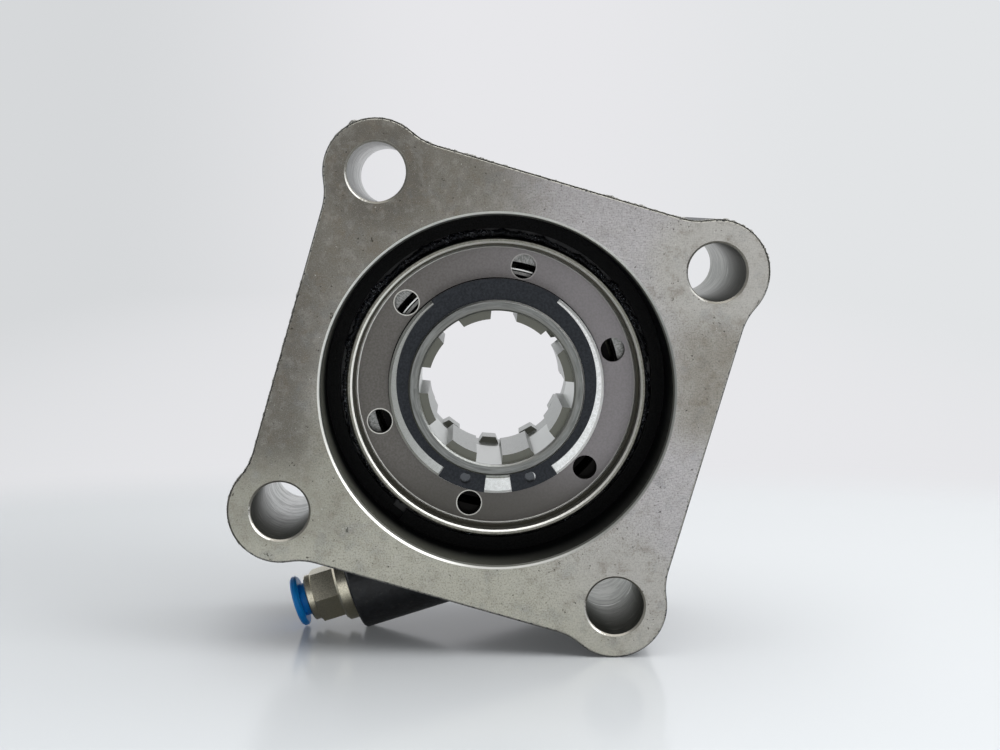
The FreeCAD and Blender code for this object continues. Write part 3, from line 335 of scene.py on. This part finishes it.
def drilled_wall(f, around):
    """Walls of the bolt holes: their colour, the drill's rings, and the painted shade towards the mouth,
    with painted highlights on the lip and along the step.
    """
    lean = (math.radians(5), 0, math.radians(6))
    rings = f.noise(1.0, detail=4.0, rough=0.7, at=f.stretched(lean, (0.14, 0.5, 0.14)), distort=0.5)
    marks = f.noise(1.0, detail=3.0, rough=0.6, at=f.stretched(lean, (0.2, 1.4, 0.2)))
    top_left = f.every(f.ramp(f.x, -10, -15), f.ramp(f.z, 20, 30))
    shade = f.every(f.ramp(f.y, 40, 2), f.turned_off(f.every(top_left, 0.85)))
    # Painted highlight: a broken bright line along the step in every hole but the upper left one.
    step = f.band(f.y, 28.7, 29.2, soft=0.4)
    step = f.every(step, f.turned_off(top_left), f.ramp(f.noise(3.0, detail=2.0), 0.36, 0.5))
    # Painted highlight on the lower left of each hole's lip; the rest of the lip is painted in shade.
    ragged = f.mixed_sum(around.toward(-1, -0.6), 1.0, f.noise(0.6, detail=3.0, rough=0.7), 0.9)
    lip_highlight = f.every(f.ramp(ragged, 1.16, 1.4), f.ramp(around.radius, 6.76, 6.84))
    # Painted shade: the walls of the holes on the right are darker than those on the left.
    colour = f.lay(
        f.mix(f.ramp(f.x, 0, 20), tone(206, 207, 205), tone(168, 170, 164)),
        (shade, tone(60, 60, 57)),
        (f.every(step, 0.7), tone(225, 226, 224)),
        (f.every(f.ramp(rings, 0.44, 0.58), 0.5), tone(92, 92, 89)),
        (f.every(f.ramp(marks, 0.56, 0.7), 0.22), tone(210, 210, 206)),
        (f.ramp(f.y, HOLE_LIP_DEPTH + 0.08, HOLE_LIP_DEPTH),
         f.mix(lip_highlight, tone(136, 133, 125), tone(236, 235, 229))),
    )
    return colour, rings, shade


def bore_wall(f, r, facing):
    """Colour of the pilot bore, with painted light on its lower left near the mouth and painted shade
    elsewhere, and of its lip with a painted highlight.
    """
    lit_side = f.calc("DIVIDE", f.mixed_sum(f.x, -0.8, f.z, -0.6), r)
    near_mouth = f.ramp(f.y, 13, 1)
    low = f.ramp(f.calc("DIVIDE", f.z, r), 0.35, -0.3)
    # Painted highlight on the lip, brightest on the lower left, with painted shade at its foot.
    lip = f.every(f.ramp(f.y, BORE_LIP_DEPTH + 0.1, BORE_LIP_DEPTH), f.ramp(facing, -0.3, -0.5))
    upper = f.ramp(f.calc("DIVIDE", f.mixed_sum(f.x, -0.5, f.z, 0.86), r), -0.35, 0.45)
    lip_highlight_tone = f.mix(upper, tone(150, 150, 146), tone(238, 238, 232))
    lip_highlight_tone = f.mix(f.ramp(lit_side, 0.68, 0.95), lip_highlight_tone, tone(246, 246, 240))
    lip_highlight_tone = f.mix(f.ramp(r, BORE_LIP_FOOT, BORE_LIP_FOOT + 0.18), tone(70, 70, 66), lip_highlight_tone)
    # Painted light on the lower left of the wall near the mouth, painted shade elsewhere.
    return f.lay(
        f.mix(f.every(low, near_mouth), tone(20, 22, 25), tone(104, 104, 100)),
        (f.every(f.ramp(lit_side, 0.15, 0.9), near_mouth), tone(172, 173, 160)),
        (f.every(f.spots(2.4, share=0.12, reach=0.1), 0.7), tone(190, 190, 184)),
        (lip, lip_highlight_tone),
    )


def casting():
    """Milled faces, bored holes and black painted cast sides of the housing."""
    f = Finish("casting")
    facing = f.facing()
    r = f.radius()
    around = Around(f)
    flat = f.ramp(f.calc("ABSOLUTE", facing), 0.9, 0.985)
    front = f.every(flat, f.ramp(f.y, 0.4, 0.2))
    rear = f.every(flat, f.ramp(f.y, HOUSING_LENGTH - 0.4, HOUSING_LENGTH - 0.2))
    in_hole = f.ramp(around.radius, HOLE_LIP_RADIUS + 0.05, HOLE_LIP_RADIUS)
    in_bore = f.every(f.ramp(r, BORE_LIP_RADIUS + 0.08, BORE_LIP_RADIUS), f.turned_off(rear))
    outside_lip = f.ramp(r, BORE_LIP_RADIUS - 0.05, BORE_LIP_RADIUS + 0.05)
    face = f.every(f.most(f.every(front, outside_lip), rear), f.turned_off(in_hole))

    milled, grain, cut, pits = milled_face(f, around)
    paint, lumps, worn = cast_paint(f)
    drilled, rings, shade = drilled_wall(f, around)
    bore = bore_wall(f, r, facing)

    rough = f.blend(face, 0.42, f.blend(f.ramp(grain, 0.3, 0.7), 0.52, 0.4))
    height = f.calc("MULTIPLY", lumps, 0.22)
    height = f.blend(face, height, f.calc("MULTIPLY", f.calc("ADD", grain, cut), 0.012))
    height = f.blend(in_hole, height, f.calc("MULTIPLY", rings, 0.05))
    height = f.blend(in_bore, height, 0.0)
    height = f.calc("SUBTRACT", height, f.every(pits, face, 0.08))
    f.set(
        Base_Color=f.lay(paint, (face, milled), (in_hole, drilled), (in_bore, bore)),
        Metallic=f.most(face, in_hole, f.every(in_bore, 0.9), worn),
        Roughness=f.blend(f.most(in_hole, in_bore), rough, 0.36),
        Normal=f.bump(height, 1.0),
        Specular_Tint=f.mix(f.every(in_hole, shade), tone(255, 255, 255), tone(176, 176, 173)),
    )
    return f


def steel(name, light, dark, rough, rings=0.0, grain_size=0.35, speckle=0.5, dents=0.01):
    """Bare turned or ground metal, with fine grain, rings of the tool and a few dark specks."""
    f = Finish(name, Metallic=1.0)
    grain = f.noise(grain_size, detail=3.0, rough=0.65)
    specks = f.spots(0.9, share=0.14, reach=0.16)
    f.colour = f.mix(f.ramp(grain, 0.3, 0.68), dark, light)
    f.colour = f.mix(f.every(specks, speckle), f.colour, tone(40, 38, 35))
    turning = f.noise(0.25, detail=2.0, rough=0.5, at=f.point(f.radius(), f.y, 0.0))
    rough_map = f.blend(grain, rough - 0.06, rough + 0.06)
    height = f.calc("ADD", f.calc("MULTIPLY", grain, dents), f.calc("MULTIPLY", turning, rings))
    f.set(Base_Color=f.colour, Roughness=rough_map, Normal=f.bump(height, 1.0))
    return f


def repaint(f, *layers):
    """Lays colours over a metal's own, each by a share of the place."""
    f.set(Base_Color=f.lay(f.colour, *layers))
    return f


def low_left(f):
    """One on the lower left side of the main axis, minus one on the upper right."""
    return f.calc("DIVIDE", f.mixed_sum(f.x, -0.75, f.z, -0.66), f.radius())


def wrench_rim_highlights(f):
    """Painted highlights on the rims of the six pin-wrench holes, on the left only."""
    sixth = math.radians(60)
    turned = f.calc("SUBTRACT", f.angle(), math.radians(WRENCH_TURN) - sixth / 2)
    folded = f.calc("SUBTRACT", f.calc("FLOORED_MODULO", turned, sixth), sixth / 2)
    out = f.calc("SUBTRACT", f.calc("MULTIPLY", f.radius(), f.calc("COSINE", folded)), WRENCH_CIRCLE)
    along = f.calc("MULTIPLY", f.radius(), f.calc("SINE", folded))
    squares = f.mixed_sum(f.calc("POWER", out, 2.0), 1.0, f.calc("POWER", along, 2.0), 1.0)
    from_hole = f.calc("SQRT", squares)
    return f.every(f.ramp(from_hole, WRENCH_HOLE + 0.3, WRENCH_HOLE + 0.16), f.ramp(f.x, 20, -12))


def lock_steel():
    """Dull lock ring, with painted light and shade by side, a painted highlight on its outer chamfer and
    painted shade in the wrench holes.
    """
    f = steel("lock_ring_steel", tone(136, 132, 131), tone(104, 100, 97), rough=0.44, rings=0.004,
              grain_size=0.5)
    edge = f.ramp(f.radius(), LOCK_EDGE_RADIUS, LOCK_EDGE_RADIUS + 0.08)
    chamfer = f.every(edge, f.ramp(f.y, LOCK_EDGE_DEPTH + 0.2, LOCK_EDGE_DEPTH))
    # Painted shade over the lock ring behind its front face, which shows in the wrench holes.
    hole = f.every(f.ramp(f.y, LOCK_FRONT, LOCK_FRONT + 0.2), f.turned_off(edge))
    f.set(Metallic=f.blend(chamfer, 1.0, 0.2))
    return repaint(
        f,
        # Painted shade and light: darker to the left, lighter to the right, and darker towards the bottom.
        (0.6, f.mix(f.ramp(f.x, -34, 30), tone(100, 97, 90), tone(152, 147, 149))),
        (f.every(f.ramp(f.z, -14, -30), 0.75), tone(84, 82, 76)),
        # Painted highlight on the outer chamfer, brightest on the lower left.
        (chamfer, f.mix(f.ramp(low_left(f), -0.7, 0.5), tone(176, 174, 168), tone(255, 254, 248))),
        (f.every(wrench_rim_highlights(f), 0.8), tone(236, 234, 226)),
        (hole, tone(60, 58, 55)),
    )


def nose_steel():
    """Turned piston nose: olive rim, a painted highlight on its inner chamfer, and painted shade in the
    bore in front of the lock ring and on the outer wall.
    """
    f = steel("nose_steel", tone(150, 148, 138), tone(112, 110, 101), rough=0.36, rings=0.01)
    r = f.radius()
    within = f.ramp(r, NOSE_BORE_RADIUS + 0.07, NOSE_BORE_RADIUS)
    # Painted highlight on the inner chamfer, brightest on the lower left.
    chamfer = f.every(within, f.ramp(f.y, NOSE_CHAMFER_END + 0.07, NOSE_CHAMFER_END))
    # Painted shade in the bore of the nose in front of the lock ring.
    inside_shade = f.every(within, f.ramp(f.y, NOSE_CHAMFER_END + 0.02, NOSE_CHAMFER_END + 0.12))
    # Painted shade: the outer wall behind the rim, in the gap by the seal, is near black.
    outside = f.ramp(r, NOSE_EDGE_RADIUS, NOSE_EDGE_RADIUS + 0.1)
    outside = f.every(outside, f.ramp(f.y, NOSE_FRONT, NOSE_FRONT + 0.6))
    f.set(Metallic=f.blend(chamfer, 1.0, 0.35))
    return repaint(
        f,
        (chamfer, f.mix(f.ramp(low_left(f), -0.7, 0.5), tone(190, 188, 180), tone(255, 254, 246))),
        (inside_shade, tone(84, 82, 74)),
        (outside, tone(34, 34, 34)),
    )


def inner_race_steel():
    """Polished race, painted lighter to the right at its front, with a painted highlight on its rim, and
    painted shade behind the circlip's eye holes and deeper in.
    """
    f = steel("inner_race_steel", tone(248, 248, 246), tone(226, 226, 223), rough=0.2, rings=0.003,
              grain_size=0.6, speckle=0.1)
    # Painted light and shade: the race is lighter to the right and darker to the left.
    right = f.ramp(f.mixed_sum(f.x, 1.0, f.z, -0.25), -24, 16)
    # Painted shade where the race is seen through the circlip's eye holes.
    eye_shades = []
    for angle in map(math.radians, CLIP_EYE_ANGLES):
        from_eye = f.radius(CLIP_EYE_CIRCLE * math.cos(angle), CLIP_EYE_CIRCLE * math.sin(angle))
        eye_shades.append(f.ramp(from_eye, CLIP_EYE_RADIUS + 0.2, CLIP_EYE_RADIUS))
    # Painted shade over the race deeper in.
    deep_shade = f.ramp(f.y, RACE_FRONT_END, RACE_FRONT_END + 0.6)
    # Painted highlight on the front rim, brightest to the right.
    rim = f.every(f.ramp(f.radius(), RACE_EDGE_RADIUS, RACE_EDGE_RADIUS + 0.1), f.turned_off(deep_shade))
    f.set(Metallic=f.blend(rim, 1.0, 0.1))
    return repaint(
        f,
        (f.every(f.turned_off(right), 0.85), tone(146, 147, 142)),
        (f.most(*eye_shades), tone(88, 90, 93)),
        (rim, f.mix(right, tone(176, 176, 170), tone(255, 255, 252))),
        (deep_shade, tone(26, 26, 26)),
    )


def outer_race_steel():
    """Race seen through the wrench holes: hatched by grinding above, in the dark below."""
    f = steel("outer_race_steel", tone(170, 170, 167), tone(140, 140, 137), rough=0.3, rings=0.003)
    place = f.point(f.calc("MULTIPLY", f.angle(), 29.0), f.every(f.radius(), 0.3), 0.0)
    hatch = f.ramp(f.noise(0.28, detail=2.0, rough=0.5, at=place), 0.42, 0.6)
    low = f.ramp(f.z, -8, -19)
    return repaint(f, (f.every(hatch, 0.6), tone(84, 84, 82)), (low, tone(22, 21, 20)))


def cage_steel():
    """Pressed cage with a painted highlight on one rib beside a painted dark gap, painted shade on its
    inner edge, and in the dark below.
    """
    f = steel("cage_steel", tone(150, 149, 146), tone(118, 117, 114), rough=0.3, rings=0.004)
    r = f.radius()
    return repaint(
        f,
        # Painted highlight on one rib; painted shade in the gap beside it, on the inner edge and below.
        (f.band(r, *CAGE_RIB, soft=0.06), tone(250, 250, 246)),
        (f.band(r, *CAGE_GAP, soft=0.05), tone(18, 18, 18)),
        (f.ramp(r, CAGE_INNER_RADIUS + 0.1, CAGE_INNER_RADIUS), tone(20, 20, 20)),
        (f.ramp(f.mixed_sum(f.z, 1.0, f.x, -0.3), 16, 12), tone(16, 15, 15)),
    )


def sleeve_steel():
    """Ground sleeve: dull front faces, painted light in the spline grooves, painted shade round the mouth
    but its lower left, and a painted highlight on the outer edge.
    """
    f = steel("sleeve_steel", tone(186, 188, 185), tone(156, 158, 155), rough=0.34, rings=0.006,
              grain_size=0.5)
    r = f.radius()
    ahead = f.ramp(f.facing(), -0.8, -0.95)
    face = f.every(ahead, f.ramp(r, SPLINE_STEP_RADIUS, SPLINE_STEP_RADIUS + 0.2))
    spline_fronts = f.every(ahead, f.ramp(r, SPLINE_STEP_RADIUS + 0.2, SPLINE_STEP_RADIUS))
    marks = f.noise(0.5, detail=3.0, rough=0.6, at=f.point(r, f.every(f.angle(), 1.5), 0.0))
    # Painted light on the floors of the spline grooves.
    lit_groove = f.ramp(r, SPLINE_FLOOR_RADIUS, SPLINE_FLOOR_RADIUS + 0.2)
    lit_groove = f.every(lit_groove, f.turned_off(ahead), f.band(f.y, *SPLINE_ENDS, soft=0.5))
    # Painted shade round the mouth, left out on the lower left where it stays lit.
    mouth = f.every(f.ramp(f.y, 9.6, 9.3), f.ramp(f.mixed_sum(f.x, -0.75, f.z, -0.66), 16, 8))
    mouth = f.every(mouth, f.ramp(r, SPLINE_MOUTH_RADIUS + 0.2, SPLINE_MOUTH_RADIUS))
    # Painted highlight on the outer edge, brightest to the upper right.
    edge = f.ramp(r, SLEEVE_EDGE_RADIUS, SLEEVE_EDGE_RADIUS + 0.15)
    edge = f.every(edge, f.ramp(f.y, SLEEVE_EDGE_DEPTH + 0.1, SLEEVE_EDGE_DEPTH))
    edge_highlight = f.ramp(f.mixed_sum(f.x, 0.85, f.z, 0.5), -6, 18)
    return repaint(
        f,
        (lit_groove, tone(216, 218, 215)),
        (face, f.mix(f.ramp(marks, 0.35, 0.65), tone(112, 113, 110), tone(142, 143, 140))),
        (spline_fronts, tone(108, 108, 100)),
        (mouth, tone(128, 128, 124)),
        (edge, f.mix(edge_highlight, tone(120, 121, 118), tone(226, 226, 222))),
    )


def nickel():
    """Golden nickel plating, with painted shade on the faces that look down."""
    f = steel("nickel", tone(250, 243, 222), tone(206, 199, 176), rough=0.3, grain_size=0.3, speckle=0.1,
              dents=0.004)
    up = f.add("ShaderNodeSeparateXYZ", {0: f.normal}).outputs[2]
    # Painted shade: faces that look down are darker.
    return repaint(f, (f.every(f.ramp(up, 0.25, -0.35), 0.75), tone(150, 144, 124)))


def rubber():
    """Black rubber, a little dusty and greased."""
    f = Finish("rubber", Specular_IOR_Level=0.6)
    grain = f.noise(0.5, detail=3.0)
    f.set(Base_Color=f.mix(grain, tone(9, 9, 10), tone(28, 28, 30)), Roughness=f.blend(grain, 0.25, 0.5))
    f.set(Normal=f.bump(grain, 0.04))
    return f


def plastic(name, light, dark, rough=0.35):
    """Moulded plastic with a faint grain."""
    f = Finish(name, Specular_IOR_Level=0.35)
    grain = f.noise(0.8, detail=3.0)
    f.set(Base_Color=f.mix(grain, dark, light), Roughness=f.blend(grain, rough - 0.07, rough + 0.07))
    f.set(Normal=f.bump(f.noise(0.12, detail=2.0), 0.01))
    return f


give(casting(), "housing")
give(lock_steel(), "lock_ring")
give(nose_steel(), "piston")
give(steel("gland_steel", tone(34, 34, 34), tone(22, 22, 22), rough=0.4, rings=0.01), "gland_ring")
give(sleeve_steel(), "splined_sleeve")
give(inner_race_steel(), "bearing_inner_race")
give(outer_race_steel(), "bearing_outer_race")
give(steel("ball_steel", tone(60, 60, 60), tone(40, 40, 40), rough=0.2), "bearing_balls")
give(cage_steel(), "bearing_cage")
give(steel("clip_steel", tone(58, 60, 64), tone(46, 48, 51), rough=0.42, grain_size=0.5, speckle=0.2),
     "sleeve_circlip")
give(steel("snap_steel", tone(30, 30, 30), tone(16, 16, 16), rough=0.4, rings=0.01), "bore_snap_ring")
give(steel("spring_steel", tone(60, 60, 62), tone(30, 30, 32), rough=0.4), "return_spring")
give(nickel(), "fitting_body", "fitting_sleeve", "grip_ring")
give(rubber(), "nose_seal", "gland_o_ring", "rear_o_ring", "piston_seal", "fitting_seal", "tube_o_ring")
give(plastic("guide_plastic", tone(150, 120, 84), tone(120, 92, 60)), "piston_guide_ring")
give(plastic("support_plastic", tone(210, 206, 196), tone(186, 182, 170)), "tube_support_ring")
give(plastic("blue_plastic", tone(0, 164, 255), tone(0, 142, 240), rough=0.34), "release_collar")


def shiny_grease():
    """Black grease, wet enough to glint, with light grey flecks that are partly painted highlights."""
    f = Finish("grease", Specular_IOR_Level=0.8)
    lumps = f.noise(0.7, detail=4.0, rough=0.7)
    # Light grey flecks: painted highlights of the wet grease, and light grey bits in it.
    flecks = f.ramp(f.noise(0.5, detail=3.0, rough=0.7), 0.55, 0.65)
    flecks = f.every(flecks, f.ramp(f.noise(6.0, detail=2.0), 0.44, 0.56))
    colour = f.mix(f.ramp(lumps, 0.45, 0.8), tone(9, 10, 14), tone(70, 75, 88))
    f.set(Base_Color=f.mix(flecks, colour, tone(196, 202, 210)), Normal=f.bump(lumps, 0.5))
    f.set(Roughness=f.blend(f.noise(1.2, detail=2.0), 0.1, 0.32))
    return f


def cast_skin_paint():
    """Rough black skin of the casting where the mill broke through it."""
    f = Finish("cast_skin", Roughness=0.5)
    torn = f.ramp(f.noise(0.3, detail=3.0, rough=0.75), 0.38, 0.6)
    f.set(Base_Color=f.mix(torn, tone(58, 57, 54), tone(172, 170, 163)))
    f.set(Normal=f.bump(f.noise(0.3, detail=3.0), 0.1))
    return f


def closed_strip(name, rails, finish, looped):
    """A solid strip through rails of points, each rail one station's outline, in millimetres."""
    count = len(rails[0])
    verts = [Vector(p) * MM for rail in rails for p in rail]
    faces = []
    stations = len(rails) if looped else len(rails) - 1
    for i in range(stations):
        here, there = i * count, (i + 1) % len(rails) * count
        for k in range(count):
            nxt = (k + 1) % count
            faces.append((here + k, here + nxt, there + nxt, there + k))
    if not looped:
        faces.append(tuple(reversed(range(count))))
        faces.append(tuple(range(len(verts) - count, len(verts))))
    mesh = bpy.data.meshes.new(name)
    mesh.from_pydata(verts, [], faces)
    work = bmesh.new()
    work.from_mesh(mesh)
    bmesh.ops.recalc_face_normals(work, faces=work.faces)
    work.to_mesh(mesh)
    work.free()
    mesh.polygons.foreach_set("use_smooth", [True] * len(mesh.polygons))
    piece = bpy.data.objects.new(name, mesh)
    bpy.context.scene.collection.objects.link(piece)
    give(finish, piece)
    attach(piece, "housing")


def nose_grease():
    """Grease squeezed out round the piston nose, lying on the snap ring and the seal."""
    inner, back, turns, across = 34.98, 17.56, 720, 9
    mean_outer, least_outer = 36.5, 35.4
    mean_height, least_height, least_rise = 0.75, 0.12, 0.03
    rails = []
    for i in range(turns):
        angle = math.tau * i / turns
        way = Vector((math.cos(angle), math.sin(angle), 0.0))
        broad = noise.noise(way * 4.0)
        lump = noise.noise(way * 13.0)
        shred = noise.noise(way * 55.0)
        outer = max(mean_outer + 0.9 * broad + 0.7 * lump + 0.45 * shred, least_outer)
        high = mean_height + 0.5 * broad + 0.6 * lump
        rail = []
        for k in range(across + 1):
            share = k / across
            r = inner + (outer - inner) * share
            rough = 0.35 * noise.noise(way * 60.0 + Vector((0, 0, 3.0 * k)))
            rise = max(least_height, high + rough) * math.sin(math.pi * (0.1 + 0.88 * share))
            rail.append((r * way.x, back - max(rise, least_rise), r * way.y))
        rail.append((rail[-1][0], back, rail[-1][2]))
        rail.append((inner * way.x, back, inner * way.y))
        rails.append(rail)
    closed_strip("nose_grease", rails, shiny_grease(), True)


def cast_skin():
    """Torn skin of the casting along the upper edges of the milled face."""
    mesh = nodes["housing"].data
    tree = BVHTree.FromPolygons([v.co for v in mesh.vertices], [p.vertices for p in mesh.polygons])
    lowest, highest = [Vector(p) / MM for p in cad_box]
    nick_angle, nick_width, nick_height = 118.0, 0.8, 0.5
    fade_end, fade_width, fade_least = 112.0, 10.0, 0.3
    per_degree, tallest, box_gap, root = 8, 0.6, 0.02, 0.1
    outside_radius, ray_depth = 0.09, 0.7 * MM
    depths = (0.12, 0.3, 0.7, 1.3)
    strips = (("cast_skin_top", 22.0, 124.0, 0.24), ("cast_skin_left", 150.0, 212.0, 0.12))
    for name, first, last, most in strips:
        rails = []
        steps = int((last - first) * per_degree)
        for i in range(steps + 1):
            angle = math.radians(first + (last - first) * i / steps)
            way = Vector((math.cos(angle), 0.0, math.sin(angle)))
            start = way * outside_radius + Vector((0.0, ray_depth, 0.0))
            hit, normal, _, _ = tree.ray_cast(start, -way)
            if hit is None:
                continue
            spot = hit / MM
            out = Vector((normal.x, 0.0, normal.z)).normalized()
            fade = 1.0
            if name == "cast_skin_top":
                fade = min(max((fade_end - math.degrees(angle)) / fade_width, fade_least), 1.0)
            rise = fade * most * (0.2 + 1.6 * noise.noise(spot * 0.8) + 0.8 * noise.noise(spot * 2.7))
            rise += nick_height * math.exp(-((math.degrees(angle) - nick_angle) / nick_width) ** 2)
            rise = min(max(rise, 0.0), tallest)
            for axis in (0, 2):
                room = (highest[axis] - spot[axis]) if out[axis] > 0 else (spot[axis] - lowest[axis])
                rise = min(rise, max(room - box_gap, 0.0) / max(abs(out[axis]), 0.01))
            sunk = spot - out * root
            crest = spot + out * rise
            rails.append([(p.x, depth, p.z) for p, depth in zip((sunk, crest, crest, sunk), depths)])
        closed_strip(name, rails, cast_skin_paint(), False)


nose_grease()
cast_skin()


def pale_floor():
    """Glossy pale table with painted light, lighter to the right and towards the front, that fades into the
    backdrop behind the unit.
    """
    f = Finish("pale_floor", Roughness=0.16, Specular_IOR_Level=0.32)
    # Painted light: the table is lighter to the right and towards the front.
    colour = f.lay(
        f.mix(f.ramp(f.x, -150, 150), tone(207, 210, 212), tone(217, 220, 222)),
        (f.every(f.ramp(f.y, 40, -150), 0.5), tone(226, 231, 234)),
        (f.every(f.noise(300.0, detail=2.0), 0.04), tone(200, 204, 208)),
    )
    f.set(Base_Color=colour)
    from_front = f.length(f.moved(0.0, 260.0, 0.0))

    def glow(colour):
        return f.add("ShaderNodeEmission", {0: colour}).outputs[0]

    def over(share, under, above):
        return f.add("ShaderNodeMixShader", {0: share, 1: under, 2: above}).outputs[0]

    path = f.add("ShaderNodeLightPath")
    rays = ("Is Camera Ray", "Is Glossy Ray", "Is Transmission Ray")
    seen = f.most(*(path.outputs[name] for name in rays))
    lifted = over(f.every(seen, 0.08), f.shader.outputs[0], glow(colour))
    # Painted light: the backdrop is darker to the left and brightest just right of the middle.
    backdrop = f.mix(f.ramp(f.x, -460, 0), tone(214, 216, 218), tone(231, 231, 234))
    backdrop = f.mix(f.ramp(f.x, 100, 460), backdrop, tone(226, 228, 230))
    faded = over(f.ramp(from_front, 470, 560), lifted, glow(backdrop))
    f.tree.links.new(faded, f.output.inputs[0])
    return f


def add_floor():
    """The table and the wall that it turns up into, in metres."""
    mesh = bpy.data.meshes.new("floor")
    half, front, back, top = 3.0, -3.0, 1.6, 2.0
    low = FLOOR_Z * MM
    places = [(-half, front, low), (half, front, low), (half, back, low), (-half, back, low)]
    places += [(half, back, top), (-half, back, top)]
    mesh.from_pydata(places, [], [(0, 1, 2, 3), (3, 2, 4, 5)])
    floor = bpy.data.objects.new("floor", mesh)
    bpy.context.scene.collection.objects.link(floor)
    give(pale_floor(), floor)


def add_world():
    """Two surroundings: one lights the unit, the other is seen directly and in reflections."""
    world = bpy.data.worlds.new("studio")
    bpy.context.scene.world = world
    world.use_nodes = True
    tree = world.node_tree
    tree.nodes.clear()
    coords = tree.nodes.new("ShaderNodeTexCoord")
    split = tree.nodes.new("ShaderNodeSeparateXYZ")
    tree.links.new(coords.outputs["Generated"], split.inputs[0])

    def shade(low, high, first, last):
        """A soft change of colour from the room's left to its right."""
        step = tree.nodes.new("ShaderNodeMapRange")
        step.interpolation_type = "SMOOTHSTEP"
        tree.links.new(split.outputs[0], step.inputs[0])
        step.inputs[1].default_value, step.inputs[2].default_value = low, high
        mix = tree.nodes.new("ShaderNodeMix")
        mix.data_type = "RGBA"
        tree.links.new(step.outputs[0], mix.inputs[0])
        mix.inputs[6].default_value, mix.inputs[7].default_value = first, last
        plain = tree.nodes.new("ShaderNodeBackground")
        tree.links.new(mix.outputs[2], plain.inputs[0])
        return plain.outputs[0]

    def larger(a, b):
        node = tree.nodes.new("ShaderNodeMath")
        node.operation = "MAXIMUM"
        tree.links.new(a, node.inputs[0])
        tree.links.new(b, node.inputs[1])
        return node.outputs[0]

    path = tree.nodes.new("ShaderNodeLightPath").outputs
    seen = larger(larger(path["Is Camera Ray"], path["Is Transmission Ray"]), path["Is Glossy Ray"])
    both = tree.nodes.new("ShaderNodeMixShader")
    tree.links.new(seen, both.inputs[0])
    tree.links.new(shade(-0.55, 0.6, tone(70, 71, 72), tone(214, 215, 218)), both.inputs[1])
    tree.links.new(shade(-1.0, 1.0, tone(221, 223, 225), tone(224, 226, 228)), both.inputs[2])
    out = tree.nodes.new("ShaderNodeOutputWorld")
    tree.links.new(both.outputs[0], out.inputs[0])


def add_lamp(name, where, size, watts):
    """A square lamp that looks at the unit, in metres."""
    data = bpy.data.lights.new(name, "AREA")
    data.shape = "RECTANGLE"
    data.size, data.size_y, data.energy = size, size, watts
    lamp = bpy.data.objects.new(name, data)
    bpy.context.scene.collection.objects.link(lamp)
    lamp.location = where
    lamp.rotation_euler = (-Vector(where)).to_track_quat("-Z", "Y").to_euler()


def add_camera():
    """The camera of the photograph, worked out from the bolt holes, the bore and the spline."""
    data = bpy.data.cameras.new("camera")
    data.sensor_width = 36.0
    data.lens = 59.24
    data.shift_x = -0.0005
    data.shift_y = 0.0005
    camera = bpy.data.objects.new("camera", data)
    bpy.context.scene.collection.objects.link(camera)
    place = Vector((-7.26, -370.4, 42.27))
    right = Vector((0.9998, -0.0214, 0.0))
    up = Vector((0.0022, 0.1031, 0.9947))
    ahead = Vector((0.0214, 0.9944, -0.1031))
    turn = Matrix((right, up, -ahead)).transposed().to_4x4()
    camera.matrix_world = Matrix.Translation(place * MM) @ turn
    bpy.context.scene.camera = camera
    bpy.context.scene.view_settings.view_transform = "Standard"


add_floor()
add_world()
add_lamp("top", (0.15, -0.05, 1.2), size=1.5, watts=15.0)
add_lamp("right", (0.75, -0.45, 0.55), size=0.5, watts=4.5)
add_camera()
